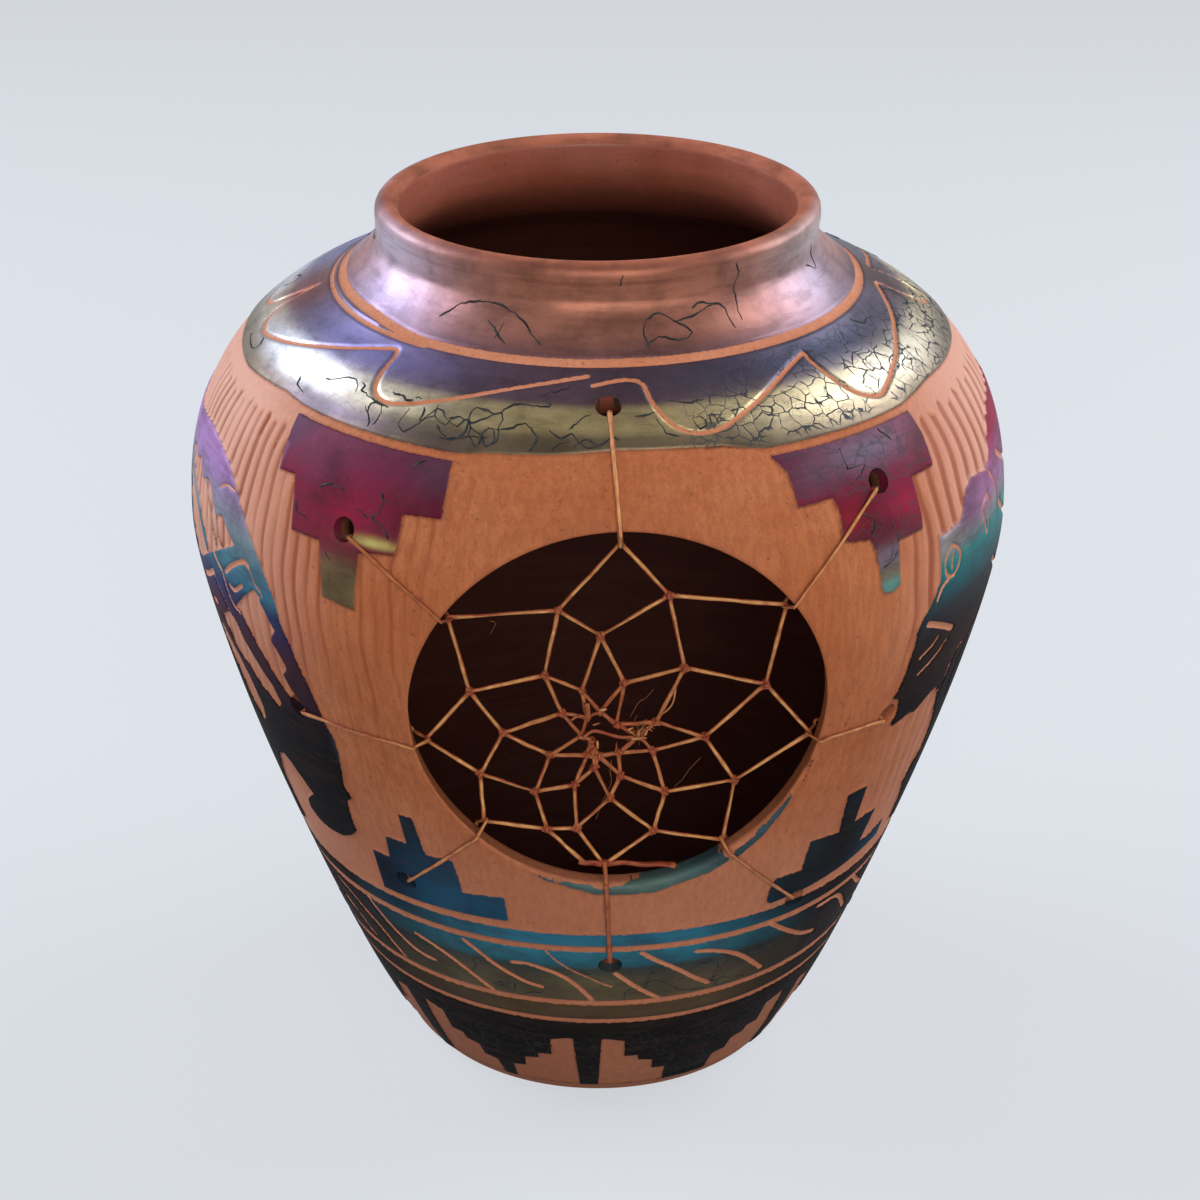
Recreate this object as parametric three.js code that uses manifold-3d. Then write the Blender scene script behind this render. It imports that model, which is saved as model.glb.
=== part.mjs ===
// A red-clay pot with a round window cut in its front and a web of waxed sinew laced into the window.
// The vessel is one fired piece. Eight sinew loops pass through small holes drilled around the window and
// hold the web, which is one long thread knotted from the window's edge inwards in a spiral.
// Millimetres, +Z up. The pot stands on z = 0, centred on the Z axis, and its window faces -Y.
import * as THREE from "three";
import { mergeVertices } from "three/addons/utils/BufferGeometryUtils.js";
import Module from "manifold-3d";

const wasm = await Module();
wasm.setup();

// Vessel
const footRadius = 45.5;
const footChamfer = 1.6;
const bellyRadius = 90;
const bellyHeight = 132;
const shoulderRadius = 62;
const shoulderHeight = 180;
const neckRadius = 47.5;
const neckHeight = 192.5;
const potHeight = 200;
const wallThickness = 5;
const floorThickness = 7;

// How far each stretch of the wall runs on straight before it bends to the next one
const footRun = 18.5;
const footLean = 50;
const bellyRunDown = 23;
const bellyRunUp = 27.5;
const shoulderRunOut = 18;
const shoulderSlope = 23;
const shoulderRunIn = 7.5;
const neckRunDown = 3;

// Window and its lacing
const windowRadius = 42.3;
const windowHeight = 116.6;
const lacingHoleRadius = 2.6;
const sinewRadius = 0.5;
const knotRadius = 0.9;
const clearance = 0.3;
const tailLength = 15;
const tailRadius = 0.7;

// Facets
const turnSteps = 64;
const wallSteps = [11, 10, 6];
const lipSteps = 5;
const windowSteps = 60;
const holeSteps = 12;
const sinewSides = 5;
const runSteps = 6;

// Each lacing hole as seen from the front: its bearing clockwise from the top of the window, how far its
// centre lies outside the window's edge, and the knot of the web that its loop holds
const lacing = [
  { name: "top", bearing: 358.6, margin: 19, knot: 4 },
  { name: "upper_right", bearing: 50, margin: 26, knot: 5 },
  { name: "right", bearing: 100.5, margin: 15.9, knot: 6 },
  { name: "lower_right", bearing: 145.4, margin: 27.6, knot: 7 },
  { name: "bottom", bearing: 180.8, margin: 25.6, knot: 8 },
  { name: "lower_left", bearing: 221.2, margin: 25, knot: 1 },
  { name: "left", bearing: 261.9, margin: 23.9, knot: 2 },
  { name: "upper_left", bearing: 304.5, margin: 23, knot: 3 },
];

// The web's knots in the order that the thread makes them: bearing clockwise from the top, and reach as a
// share of the window's radius. The first round's knots, one more than the loops, lie at the window's edge.
// Each later knot hangs on the strand that the thread made one round before it.
const knotsInRound = lacing.length + 1;
const webKnots = [
  [190, 0.91], [224, 0.93], [258, 0.94], [304, 0.96], [0, 0.92], [54, 0.96], [103, 0.96], [147, 0.96],
  [184, 0.91], [206, 0.78], [239, 0.77], [278, 0.71], [333, 0.63], [20, 0.67], [82, 0.71], [129, 0.74],
  [166, 0.74], [196, 0.72], [219, 0.63], [254, 0.57], [299, 0.4], [348, 0.42], [55, 0.38], [116, 0.47],
  [155, 0.55], [184, 0.52], [205, 0.49], [229, 0.43], [262, 0.27], [300, 0.2], [12, 0.14], [119, 0.21],
  [147, 0.31], [178, 0.39], [198, 0.36], [208, 0.31], [226, 0.24], [247, 0.16], [250, 0.09], [184, 0.1],
  [149, 0.2], [179, 0.26], [198, 0.29], [206, 0.27], [213, 0.23],
];

const toRadians = THREE.MathUtils.degToRad;

// The outer wall's section, as three curves from the foot to the neck
function wallCurves() {
  const foot = new THREE.Vector2(footRadius, footChamfer);
  const belly = new THREE.Vector2(bellyRadius, bellyHeight);
  const shoulder = new THREE.Vector2(shoulderRadius, shoulderHeight);
  const neck = new THREE.Vector2(neckRadius, neckHeight);
  const footWay = new THREE.Vector2(Math.cos(toRadians(footLean)), Math.sin(toRadians(footLean)));
  const shoulderFall = toRadians(shoulderSlope);
  const shoulderWay = new THREE.Vector2(Math.cos(shoulderFall), -Math.sin(shoulderFall));
  return [
    new THREE.CubicBezierCurve(
      foot,
      foot.clone().addScaledVector(footWay, footRun),
      new THREE.Vector2(bellyRadius, bellyHeight - bellyRunDown),
      belly,
    ),
    new THREE.CubicBezierCurve(
      belly,
      new THREE.Vector2(bellyRadius, bellyHeight + bellyRunUp),
      shoulder.clone().addScaledVector(shoulderWay, shoulderRunOut),
      shoulder,
    ),
    new THREE.CubicBezierCurve(
      shoulder,
      shoulder.clone().addScaledVector(shoulderWay, -shoulderRunIn),
      new THREE.Vector2(neckRadius, neckHeight - neckRunDown),
      neck,
    ),
  ];
}

// Points up the outer wall, each with its outward normal in the section
function wallStations(curve, steps) {
  return Array.from({ length: steps + 1 }, (_, i) => {
    const point = curve.getPoint(i / steps);
    const way = curve.getTangent(i / steps);
    return { point, normal: new THREE.Vector2(way.y, -way.x) };
  });
}

const stations = wallCurves().flatMap((curve, i) => wallStations(curve, wallSteps[i]).slice(i ? 1 : 0));
const outerWall = stations.map((s) => s.point);
const innerWall = stations.map((s) => s.point.clone().addScaledVector(s.normal, -wallThickness));

// Radius of a wall's section at a height, between its points
function radiusAt(section, height) {
  const above = section.findIndex((p) => p.y >= height);
  const high = section[Math.max(above, 1)];
  const low = section[Math.max(above, 1) - 1];
  return THREE.MathUtils.mapLinear(height, low.y, high.y, low.x, high.x);
}

// The closed section of the whole vessel: underside, outer wall, rounded lip, inner wall, floor
function vesselSection() {
  const lipRadius = wallThickness / 2;
  const lip = Array.from({ length: lipSteps + 1 }, (_, i) => {
    const turn = (Math.PI * i) / lipSteps;
    return new THREE.Vector2(
      neckRadius - lipRadius + lipRadius * Math.cos(turn),
      potHeight - lipRadius + lipRadius * Math.sin(turn),
    );
  });
  const inside = innerWall.filter((p) => p.y > floorThickness + wallThickness / 2).reverse();
  const corner = inside[inside.length - 1];
  return [
    new THREE.Vector2(0, 0),
    new THREE.Vector2(footRadius - footChamfer, 0),
    ...outerWall,
    ...lip,
    ...inside,
    new THREE.Vector2(corner.x - wallThickness, floorThickness),
    new THREE.Vector2(0, floorThickness),
  ];
}

function solidOf(geometry) {
  const bare = geometry.clone();
  bare.deleteAttribute("normal");
  bare.deleteAttribute("uv");
  const merged = mergeVertices(bare, 1e-4);
  return new wasm.Manifold(
    new wasm.Mesh({
      numProp: 3,
      vertProperties: merged.attributes.position.array,
      triVerts: new Uint32Array(merged.index.array),
    }),
  );
}

function geometryOf(solid) {
  const mesh = solid.getMesh();
  const geometry = new THREE.BufferGeometry();
  geometry.setAttribute("position", new THREE.BufferAttribute(new Float32Array(mesh.vertProperties), 3));
  geometry.setIndex(new THREE.BufferAttribute(new Uint32Array(mesh.triVerts), 1));
  geometry.computeVertexNormals();
  return geometry;
}

// Where a point seen from the front, x across and z up, lies on the outer wall, and the wall's normal there
function onWall(x, z) {
  const radius = radiusAt(outerWall, z);
  const point = new THREE.Vector3(x, -Math.sqrt(radius * radius - x * x), z);
  const nearest = stations.findIndex((s) => s.point.y >= z);
  const above = stations[Math.max(nearest, 1)];
  const below = stations[Math.max(nearest, 1) - 1];
  const share = THREE.MathUtils.inverseLerp(below.point.y, above.point.y, z);
  const section = below.normal.clone().lerp(above.normal, share).normalize();
  const lean = section.x / radius;
  const normal = new THREE.Vector3(lean * point.x, lean * point.y, section.y);
  return { point, normal };
}

// A point of the window's plane, from its bearing and its distance from the window's centre
function fromWindow(bearing, reach) {
  const turn = toRadians(bearing);
  return { x: reach * Math.sin(turn), z: windowHeight + reach * Math.cos(turn) };
}

// Depth of the middle of the wall's cut face at a bearing round the window
function rimDepth(bearing) {
  const { x, z } = fromWindow(bearing, windowRadius);
  const outer = Math.sqrt(radiusAt(outerWall, z) ** 2 - x * x);
  const inner = Math.sqrt(radiusAt(innerWall, z) ** 2 - x * x);
  return -(outer + inner) / 2;
}

// The web is taut, so its depth runs straight from the rim to the mean depth of four points of the rim
const webCentreDepth = [0, 90, 180, 270].map(rimDepth).reduce((sum, depth) => sum + depth) / 4;

function holeCentre(hole) {
  const { x, z } = fromWindow(hole.bearing, windowRadius + hole.margin);
  return onWall(x, z);
}

// The fired clay body, with the window cut straight back through its front and the holes square to the wall
function vessel() {
  const turned = new THREE.LatheGeometry(vesselSection(), turnSteps).rotateX(Math.PI / 2);
  const cutDepth = bellyRadius;
  const window = new THREE.CylinderGeometry(windowRadius, windowRadius, cutDepth, windowSteps);
  window.translate(0, -bellyRadius / 4 - cutDepth / 2, windowHeight);
  let body = solidOf(turned).subtract(solidOf(window));
  for (const hole of lacing) {
    const { point, normal } = holeCentre(hole);
    const drillLength = 4 * wallThickness;
    const drill = new THREE.CylinderGeometry(lacingHoleRadius, lacingHoleRadius, drillLength, holeSteps);
    const turn = new THREE.Quaternion().setFromUnitVectors(new THREE.Vector3(0, 1, 0), normal);
    drill.applyQuaternion(turn).translate(point.x, point.y, point.z);
    body = body.subtract(solidOf(drill));
  }
  return geometryOf(body);
}

// A thread of round section along a list of points, with its sides kept square to one direction
function thread(points, radius, across, closed) {
  const rings = points.map((point, i) => {
    const last = points.length - 1;
    const before = closed ? points[(i + last) % points.length] : points[Math.max(i - 1, 0)];
    const after = closed ? points[(i + 1) % points.length] : points[Math.min(i + 1, last)];
    const way = after.clone().sub(before).normalize();
    const side = across.clone().addScaledVector(way, -across.dot(way)).normalize();
    const other = way.clone().cross(side);
    return Array.from({ length: sinewSides }, (_, k) => {
      const turn = (2 * Math.PI * k) / sinewSides;
      const offset = side.clone().multiplyScalar(Math.cos(turn)).addScaledVector(other, Math.sin(turn));
      return point.clone().addScaledVector(offset, radius);
    });
  });
  const corners = rings.flat();
  const faces = [];
  const spans = closed ? points.length : points.length - 1;
  for (let i = 0; i < spans; i++) {
    const here = i * sinewSides;
    const next = ((i + 1) % points.length) * sinewSides;
    for (let k = 0; k < sinewSides; k++) {
      const k1 = (k + 1) % sinewSides;
      faces.push(here + k, here + k1, next + k1, here + k, next + k1, next + k);
    }
  }
  if (!closed) {
    const end = (points.length - 1) * sinewSides;
    for (let k = 1; k < sinewSides - 1; k++) {
      faces.push(0, k + 1, k, end, end + k, end + k + 1);
    }
  }
  const geometry = new THREE.BufferGeometry();
  const numbers = corners.flatMap((corner) => corner.toArray());
  geometry.setAttribute("position", new THREE.Float32BufferAttribute(numbers, 3));
  geometry.setIndex(faces);
  return geometry;
}

// Points of a thread that bends round an edge, from one direction off the edge to another
function roundEdge(edge, from, to) {
  return [0, 0.5, 1].map((share) => {
    const off = from.clone().lerp(to, share).normalize();
    return edge.clone().addScaledVector(off, sinewRadius + clearance);
  });
}

function knotPoint(index) {
  const [bearing, share] = webKnots[index];
  const { x, z } = fromWindow(bearing, share * windowRadius);
  return new THREE.Vector3(x, THREE.MathUtils.lerp(webCentreDepth, rimDepth(bearing), share), z);
}

// The bend of a loop between the two strands that its knot sends inwards, clear of both by the same gap
function loopBend(hole) {
  const held = knotPoint(hole.knot);
  const left = knotPoint(hole.knot + knotsInRound).sub(held).normalize();
  const right = knotPoint(hole.knot + knotsInRound - 1).sub(held).normalize();
  const between = left.clone().add(right).normalize();
  const opening = Math.sqrt(1 - between.dot(left) ** 2);
  return held.addScaledVector(between, (2 * sinewRadius + clearance) / opening);
}

// One sinew loop: out of its hole, along the outer wall to the window, round the web's thread, back inside
function lacingLoop(hole) {
  const { point: mouth, normal: outward } = holeCentre(hole);
  const bend = loopBend(hole);
  const inward = new THREE.Vector3(-bend.x, 0, windowHeight - bend.z).normalize();
  const edge = { x: -windowRadius * inward.x, z: windowHeight - windowRadius * inward.z };
  const outerEdge = onWall(edge.x, edge.z);
  const innerEdge = outerEdge.point.clone();
  innerEdge.y = -Math.sqrt(radiusAt(innerWall, edge.z) ** 2 - edge.x ** 2);
  const along = outerEdge.point.clone().sub(mouth);
  along.addScaledVector(outward, -along.dot(outward)).normalize();
  const mouthEdge = mouth.clone().addScaledVector(along, lacingHoleRadius);
  const throatEdge = mouthEdge.clone().addScaledVector(outward, -wallThickness);
  const lift = sinewRadius + clearance;
  const outerRun = [];
  const innerRun = [];
  for (let i = 1; i < runSteps; i++) {
    const share = i / runSteps;
    const x = THREE.MathUtils.lerp(mouthEdge.x, edge.x, share);
    const z = THREE.MathUtils.lerp(mouthEdge.z, edge.z, share);
    const { point, normal } = onWall(x, z);
    outerRun.push(point.clone().addScaledVector(normal, lift));
    innerRun.unshift(point.clone().addScaledVector(normal, -wallThickness - lift));
  }
  const back = along.clone().negate();
  const cavity = outward.clone().negate();
  const turnRound = [-1, 0, 1].map((side) => {
    const depth = new THREE.Vector3(0, side * sinewRadius, 0);
    return bend.clone().add(depth).addScaledVector(inward, -Math.abs(side) * sinewRadius * 0.4);
  });
  const route = [
    ...roundEdge(mouthEdge, back, outward),
    ...outerRun,
    ...roundEdge(outerEdge.point, outerEdge.normal, inward),
    ...turnRound,
    ...roundEdge(innerEdge, inward, outerEdge.normal.clone().negate()),
    ...innerRun,
    ...roundEdge(throatEdge, cavity, back),
  ];
  return thread(route, sinewRadius, along.clone().cross(outward).normalize(), true);
}

// A straight strand of the web between two knots
function strand(from, to, radius = sinewRadius) {
  const way = to.clone().sub(from).normalize();
  const across = new THREE.Vector3(0, 1, 0).addScaledVector(way, -way.y).normalize();
  return solidOf(thread([from, to], radius, across, false));
}

function knot(centre, radius) {
  return solidOf(new THREE.IcosahedronGeometry(radius, 0).translate(centre.x, centre.y, centre.z));
}

// The web's one long thread: each later knot pulls the strand that it hangs on into a bend
function web() {
  const places = webKnots.map((_, i) => knotPoint(i));
  const pieces = [];
  places.forEach((place, i) => {
    pieces.push(knot(place, i < knotsInRound ? sinewRadius : knotRadius));
    if (i + knotsInRound < places.length) {
      pieces.push(strand(place, places[i + knotsInRound]));
      if (i > 0) pieces.push(strand(places[i + knotsInRound - 1], place));
    } else if (i + 1 < places.length) {
      pieces.push(strand(place, places[i + 1]));
    }
  });
  const lastHeld = places.length - knotsInRound;
  pieces.push(strand(places[places.length - 1], places[lastHeld]));
  const lastHung = places[knotsInRound - 1];
  const tailEnd = lastHung.clone().add(new THREE.Vector3(tailLength, 0, -tailRadius));
  pieces.push(strand(places[0], lastHung), strand(lastHung, tailEnd, tailRadius));
  return geometryOf(pieces.reduce((whole, piece) => whole.add(piece)));
}

const clay = new THREE.MeshStandardMaterial({ color: 0xb5623f, roughness: 0.6, metalness: 0 });
const sinew = new THREE.MeshStandardMaterial({ color: 0xa8703c, roughness: 0.5, metalness: 0 });

function named(name, geometry, material) {
  const mesh = new THREE.Mesh(geometry, material);
  mesh.name = name;
  return mesh;
}

const pot = new THREE.Group();
pot.add(named("vessel", vessel(), clay));
for (const hole of lacing) {
  pot.add(named("lacing_loop_" + hole.name, lacingLoop(hole), sinew));
}
pot.add(named("web", web(), sinew));

export default pot;
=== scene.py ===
import math

import bmesh
import bpy
import numpy as np
from mathutils import Matrix, Vector


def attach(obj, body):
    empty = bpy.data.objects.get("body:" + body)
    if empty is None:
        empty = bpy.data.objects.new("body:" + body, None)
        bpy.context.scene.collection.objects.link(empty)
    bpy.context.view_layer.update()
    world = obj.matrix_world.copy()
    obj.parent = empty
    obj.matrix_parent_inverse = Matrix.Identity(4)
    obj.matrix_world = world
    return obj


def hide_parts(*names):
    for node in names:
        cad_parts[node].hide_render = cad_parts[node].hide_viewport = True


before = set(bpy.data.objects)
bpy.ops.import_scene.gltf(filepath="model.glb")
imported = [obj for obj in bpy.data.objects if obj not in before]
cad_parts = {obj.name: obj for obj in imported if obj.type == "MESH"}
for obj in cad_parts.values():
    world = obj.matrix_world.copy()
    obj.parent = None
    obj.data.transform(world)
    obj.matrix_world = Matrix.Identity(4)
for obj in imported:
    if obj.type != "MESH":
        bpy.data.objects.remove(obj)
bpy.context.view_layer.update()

# Camera. It stands a little over half a metre in front of the pot, raised so that it looks down into the
# mouth, and a few degrees to the left of straight ahead.
camera_aim = Vector((0, 0, 0.1037))
camera_distance = 0.62
camera_rise = math.radians(25.88)
camera_swing = math.radians(-3.1)
lens = bpy.data.cameras.new("camera")
lens.sensor_width = 36
lens.lens = 81.507
lens.shift_x = 0.00194


def placed(name, data):
    """A new object in the scene."""
    made = bpy.data.objects.new(name, data)
    bpy.context.scene.collection.objects.link(made)
    return made


camera = placed("camera", lens)
camera_way = Vector((
    math.cos(camera_rise) * math.sin(camera_swing),
    -math.cos(camera_rise) * math.cos(camera_swing),
    math.sin(camera_rise),
))
camera.location = camera_aim + camera_way * camera_distance
camera.rotation_mode = "QUATERNION"
camera.rotation_quaternion = (-camera_way).to_track_quat("-Z", "Y")
bpy.context.scene.camera = camera
bpy.context.scene.view_settings.view_transform = "Standard"

# Studio. A pale seamless floor, and a surround that is pale at the horizon and dim overhead, which only the
# camera and the glaze see at that strength. Two broad cool panels beside and behind the pot give the glaze
# its long highlights, and a warmer one fills the front.
floor_tone, floor_lift = (0.13, 0.135, 0.145, 1), (0.56, 0.58, 0.61, 1)
floor_reach = 6
surround_seen, surround_overhead = (0.68, 0.70, 0.74, 1), (0.24, 0.25, 0.27, 1)
surround_light = (0.22, 0.225, 0.24, 1)
lamps = [  # name, place, size, power and colour
    ("left_panel", (-0.80, 0.30, 0.62), (0.80, 0.60), 11.5, (0.84, 0.90, 1.0)),
    ("right_panel", (0.80, 0.24, 0.66), (0.75, 0.65), 10.5, (0.90, 0.94, 1.0)),
    ("front_fill", (0.10, -1.20, 0.55), (1.1, 0.9), 12.3, (1.0, 0.97, 0.93)),
]


def nodes_of(owner):
    """The node tree of a material or of the world, emptied."""
    owner.use_nodes = True
    owner.node_tree.nodes.clear()
    return owner.node_tree


def add(tree, kind, inputs=None, **settings):
    """A shader node. Inputs take a value, or a socket that is then linked."""
    made = tree.nodes.new("ShaderNode" + kind)
    for key, value in settings.items():
        setattr(made, key, value)
    for key, value in (inputs or {}).items():
        if isinstance(value, bpy.types.NodeSocket):
            tree.links.new(value, made.inputs[key])
        else:
            made.inputs[key].default_value = value
    return made


def maths(tree, operation, *values, clamp=False):
    return add(tree, "Math", dict(enumerate(values)), operation=operation, use_clamp=clamp).outputs[0]


def mixed(tree, share, first, second):
    """The first colour, turned into the second by a share."""
    return add(tree, "MixRGB", {0: share, 1: first, 2: second}).outputs[0]


def ramp(tree, value, low, high, first=0.0, second=1.0):
    """A soft change from first to second as value goes from low to high."""
    return add(tree, "MapRange", {"Value": value, "From Min": low, "From Max": high, "To Min": first,
                                  "To Max": second}, interpolation_type="SMOOTHSTEP").outputs[0]


def seen_share(tree):
    """1 for camera, mirror and see-through rays, 0 for light that falls on things."""
    ray = add(tree, "LightPath").outputs
    seen = maths(tree, "MAXIMUM", ray["Is Camera Ray"], ray["Is Glossy Ray"])
    return maths(tree, "MAXIMUM", seen, ray["Is Transmission Ray"])


def mesh_of(name, worked):
    """Mesh data from a worked mesh, which is let go."""
    made = bpy.data.meshes.new(name)
    worked.to_mesh(made)
    worked.free()
    return made


world = bpy.data.worlds.new("surround")
bpy.context.scene.world = world
tree = nodes_of(world)
way_up = add(tree, "SeparateXYZ", {0: add(tree, "TexCoord").outputs["Generated"]}).outputs["Z"]
pale = mixed(tree, ramp(tree, way_up, 0.15, 0.85), surround_seen, surround_overhead)
glow = add(tree, "Background", {"Color": mixed(tree, seen_share(tree), surround_light, pale)})
add(tree, "OutputWorld", {"Surface": glow.outputs[0]})

grid = bmesh.new()
bmesh.ops.create_grid(grid, x_segments=4, y_segments=4, size=floor_reach)
floor = placed("floor", mesh_of("floor", grid))
floor_look = bpy.data.materials.new("pale_floor")
tree = nodes_of(floor_look)
matt = add(tree, "BsdfDiffuse", {"Color": floor_tone})
lifted = add(tree, "Emission", {"Color": floor_lift, "Strength": seen_share(tree)})
both = add(tree, "AddShader", {0: matt.outputs[0], 1: lifted.outputs[0]})
add(tree, "OutputMaterial", {"Surface": both.outputs[0]})
floor.data.materials.append(floor_look)

for name, place, size, power, colour in lamps:
    panel = bpy.data.lights.new(name, "AREA")
    panel.shape = "RECTANGLE"
    panel.size, panel.size_y = size
    panel.energy = power
    panel.color = colour
    stand = placed(name, panel)
    stand.location = place
    stand.rotation_mode = "QUATERNION"
    stand.rotation_quaternion = (camera_aim - Vector(place)).to_track_quat("-Z", "Y")

# The vessel's wall. One fired piece of red clay, thrown on the wheel about 5 mm thick: a small flat foot, a
# high round belly, a sloping shoulder, and a short upright neck with a round lip. Sizes are millimetres.
foot_radius, foot_chamfer = 45.5, 1.6
belly_radius, belly_height = 90, 132
shoulder_radius, shoulder_height = 62, 180
neck_radius, neck_height = 47.5, 192.5
pot_height = 200
wall_thickness, floor_thickness = 5, 7
half_wall = wall_thickness / 2
foot_run, foot_lean = 18.5, math.radians(50)
belly_run_down, belly_run_up = 23, 27.5
shoulder_run_out, shoulder_run_in, shoulder_slope = 18, 7.5, math.radians(23)
neck_run_down = 3
window_radius, window_height = 42.3, 116.6
hole_radius = 2.6
mm = 0.001


def bend(a, b, c, d, steps=600):
    """Points on a smooth curve from a to d that leaves a towards b and reaches d from c."""
    share = np.linspace(0, 1, steps)[:, None]
    rest = 1 - share
    a, b, c, d = map(np.array, (a, b, c, d))
    return rest**3 * a + 3 * rest**2 * share * b + 3 * rest * share**2 * c + share**3 * d


shoulder_way = np.array((math.cos(shoulder_slope), -math.sin(shoulder_slope)))
foot_start = np.array((foot_radius, foot_chamfer))
foot_way = np.array((math.cos(foot_lean), math.sin(foot_lean)))
shoulder_spot = np.array((shoulder_radius, shoulder_height))
wall_line = np.concatenate([
    bend(foot_start, foot_start + foot_run * foot_way,
         (belly_radius, belly_height - belly_run_down), (belly_radius, belly_height)),
    bend((belly_radius, belly_height), (belly_radius, belly_height + belly_run_up),
         shoulder_spot + shoulder_run_out * shoulder_way, shoulder_spot)[1:],
    bend(shoulder_spot, shoulder_spot - shoulder_run_in * shoulder_way,
         (neck_radius, neck_height - neck_run_down), (neck_radius, neck_height))[1:],
    [(neck_radius, pot_height - half_wall)],
])
wall_r, wall_z = wall_line[:, 0], wall_line[:, 1]
wall_run = np.concatenate([[0], np.cumsum(np.hypot(np.diff(wall_r), np.diff(wall_z)))])
wall_way = np.gradient(wall_line, wall_run, axis=0)
wall_way /= np.linalg.norm(wall_way, axis=1)[:, None]
wall_out = np.stack([wall_way[:, 1], -wall_way[:, 0]], -1)


def radius_at(z):
    return np.interp(z, wall_z, wall_r)


def run_at(z):
    return np.interp(z, wall_z, wall_run)


def out_at(z):
    """The wall's outward direction at a height, as a part along the radius and a part upwards."""
    return np.interp(z, wall_z, wall_out[:, 0]), np.interp(z, wall_z, wall_out[:, 1])


def skin(run, depth=0.0):
    """Section points a depth in from the outer face, at distances run up the wall."""
    z = np.interp(run, wall_run, wall_z)
    r = np.interp(run, wall_run, wall_r)
    across, up = out_at(z)
    return [(r[i] - depth * across[i], z[i] - depth * up[i]) for i in range(len(run))]


def place_on_wall(turn, z, lift=0.0):
    """A point in mm on the outer face at a turn in degrees from the front, lifted off it along its normal."""
    turn, z = np.radians(turn), np.asarray(z, float)
    across, up = out_at(z)
    r = radius_at(z) + lift * across
    return np.stack([r * np.sin(turn), -r * np.cos(turn), z + lift * up], -1)


# The vessel's carved and painted design, as places on the wall: degrees round from the front, and height in
# mm. The potter sprays colour on smooth clay, then cuts it away again to bare clay, in steps and in lines.
glaze_edge = [  # lower edge of the shoulder's glaze
    (-90, 170.2), (-75, 170), (-60, 171.3), (-54, 170.8), (-24, 170.3), (-20, 170.9), (-10, 171.4),
    (0, 172.2), (10, 172), (16, 171.6), (22, 170.3), (50, 170.2), (60, 171.2), (70, 170.8), (90, 170.3),
]
painted_shapes = {
    "left_hanging_steps": [
        (-54, 169.5), (-53.2, 164), (-52.5, 159.8), (-49.2, 160.1), (-48.2, 156.5), (-47.4, 150),
        (-42.2, 150), (-41.6, 146), (-41, 139), (-38, 138.4), (-35.7, 138), (-35.5, 150), (-30, 151.2),
        (-29.8, 159), (-24, 159.4), (-24.3, 169.1),
    ],
    "right_hanging_steps": [
        (22.4, 169.1), (24.3, 166), (24.6, 160), (30.3, 160.2), (30.8, 157), (30.6, 152), (31.5, 151.3),
        (35, 150.5), (35.8, 147.5), (36.3, 140), (36.8, 138.6), (38, 138), (39.8, 139), (40, 148.3),
        (45, 148.4), (45.2, 151), (45.1, 158.8), (50.3, 158.8), (50.8, 165), (50.5, 169.0),
    ],
    "left_standing_steps": [
        (-44, 60.3), (-43.4, 71.8), (-39.6, 71.8), (-39, 78.3), (-34.8, 78.3), (-34.8, 86.8), (-32.2, 86.8),
        (-31.5, 76.5), (-26.5, 77), (-26, 67.6), (-18.6, 68.4), (-18.5, 61),
    ],
    "right_standing_steps": [
        (28.5, 60.4), (27.4, 61.5), (27.3, 65), (28, 68.3), (33.3, 68), (33.2, 76.5), (39.8, 75.3),
        (38.8, 86.3), (43.4, 86.3), (43.6, 76.2), (49.2, 76.2), (48.3, 67.5), (50.5, 67), (55.5, 68.8),
        (56, 64), (45, 62), (37, 61),
    ],
    "left_field": [
        (-90, 155), (-85, 156), (-80, 157), (-75, 157.8), (-70, 157), (-65, 155), (-62, 152.5), (-58, 147),
        (-55, 142.5), (-52, 137), (-50, 132), (-49.5, 129), (-48, 124), (-46.5, 117), (-45, 110),
        (-44.5, 106), (-43.7, 103), (-43.6, 99), (-44.2, 94), (-45, 89), (-44, 86), (-45.5, 84.5),
        (-46, 80), (-46, 75.5), (-48, 73), (-51, 71), (-55, 70.2), (-58, 70.8), (-60, 73), (-59.8, 75.5),
        (-58, 77.5), (-56, 79.5), (-58, 82.5), (-60, 85), (-62, 86.5), (-65, 84.5), (-67, 80.5),
        (-68.8, 76), (-69, 72), (-68.5, 68), (-67.5, 65), (-72, 61.5), (-80, 58), (-95, 57), (-95, 155),
    ],
    "right_field": [
        (48.3, 144.8), (50, 144.5), (54, 145.2), (55.5, 147.5), (57, 150.5), (59, 151.8), (62, 151),
        (65, 150), (67, 151), (69, 154.5), (72, 157.5), (75, 158.8), (78, 159), (95, 159), (95, 57),
        (80, 58), (68, 61), (61, 64.5), (60.5, 72), (58, 77), (61, 83), (62, 85), (61.5, 88), (60.5, 93),
        (59, 97), (57.5, 101), (56, 104), (54, 104), (52, 103), (50, 101.5), (48.5, 102.5), (46.5, 102),
        (44.5, 101.5), (43.8, 102.5), (44.4, 105), (43.8, 109), (42.3, 110), (43, 112), (43.5, 115),
        (44, 121), (44.2, 126), (45, 128.5), (46.5, 130.5), (48.4, 135),
    ],
}
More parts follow.
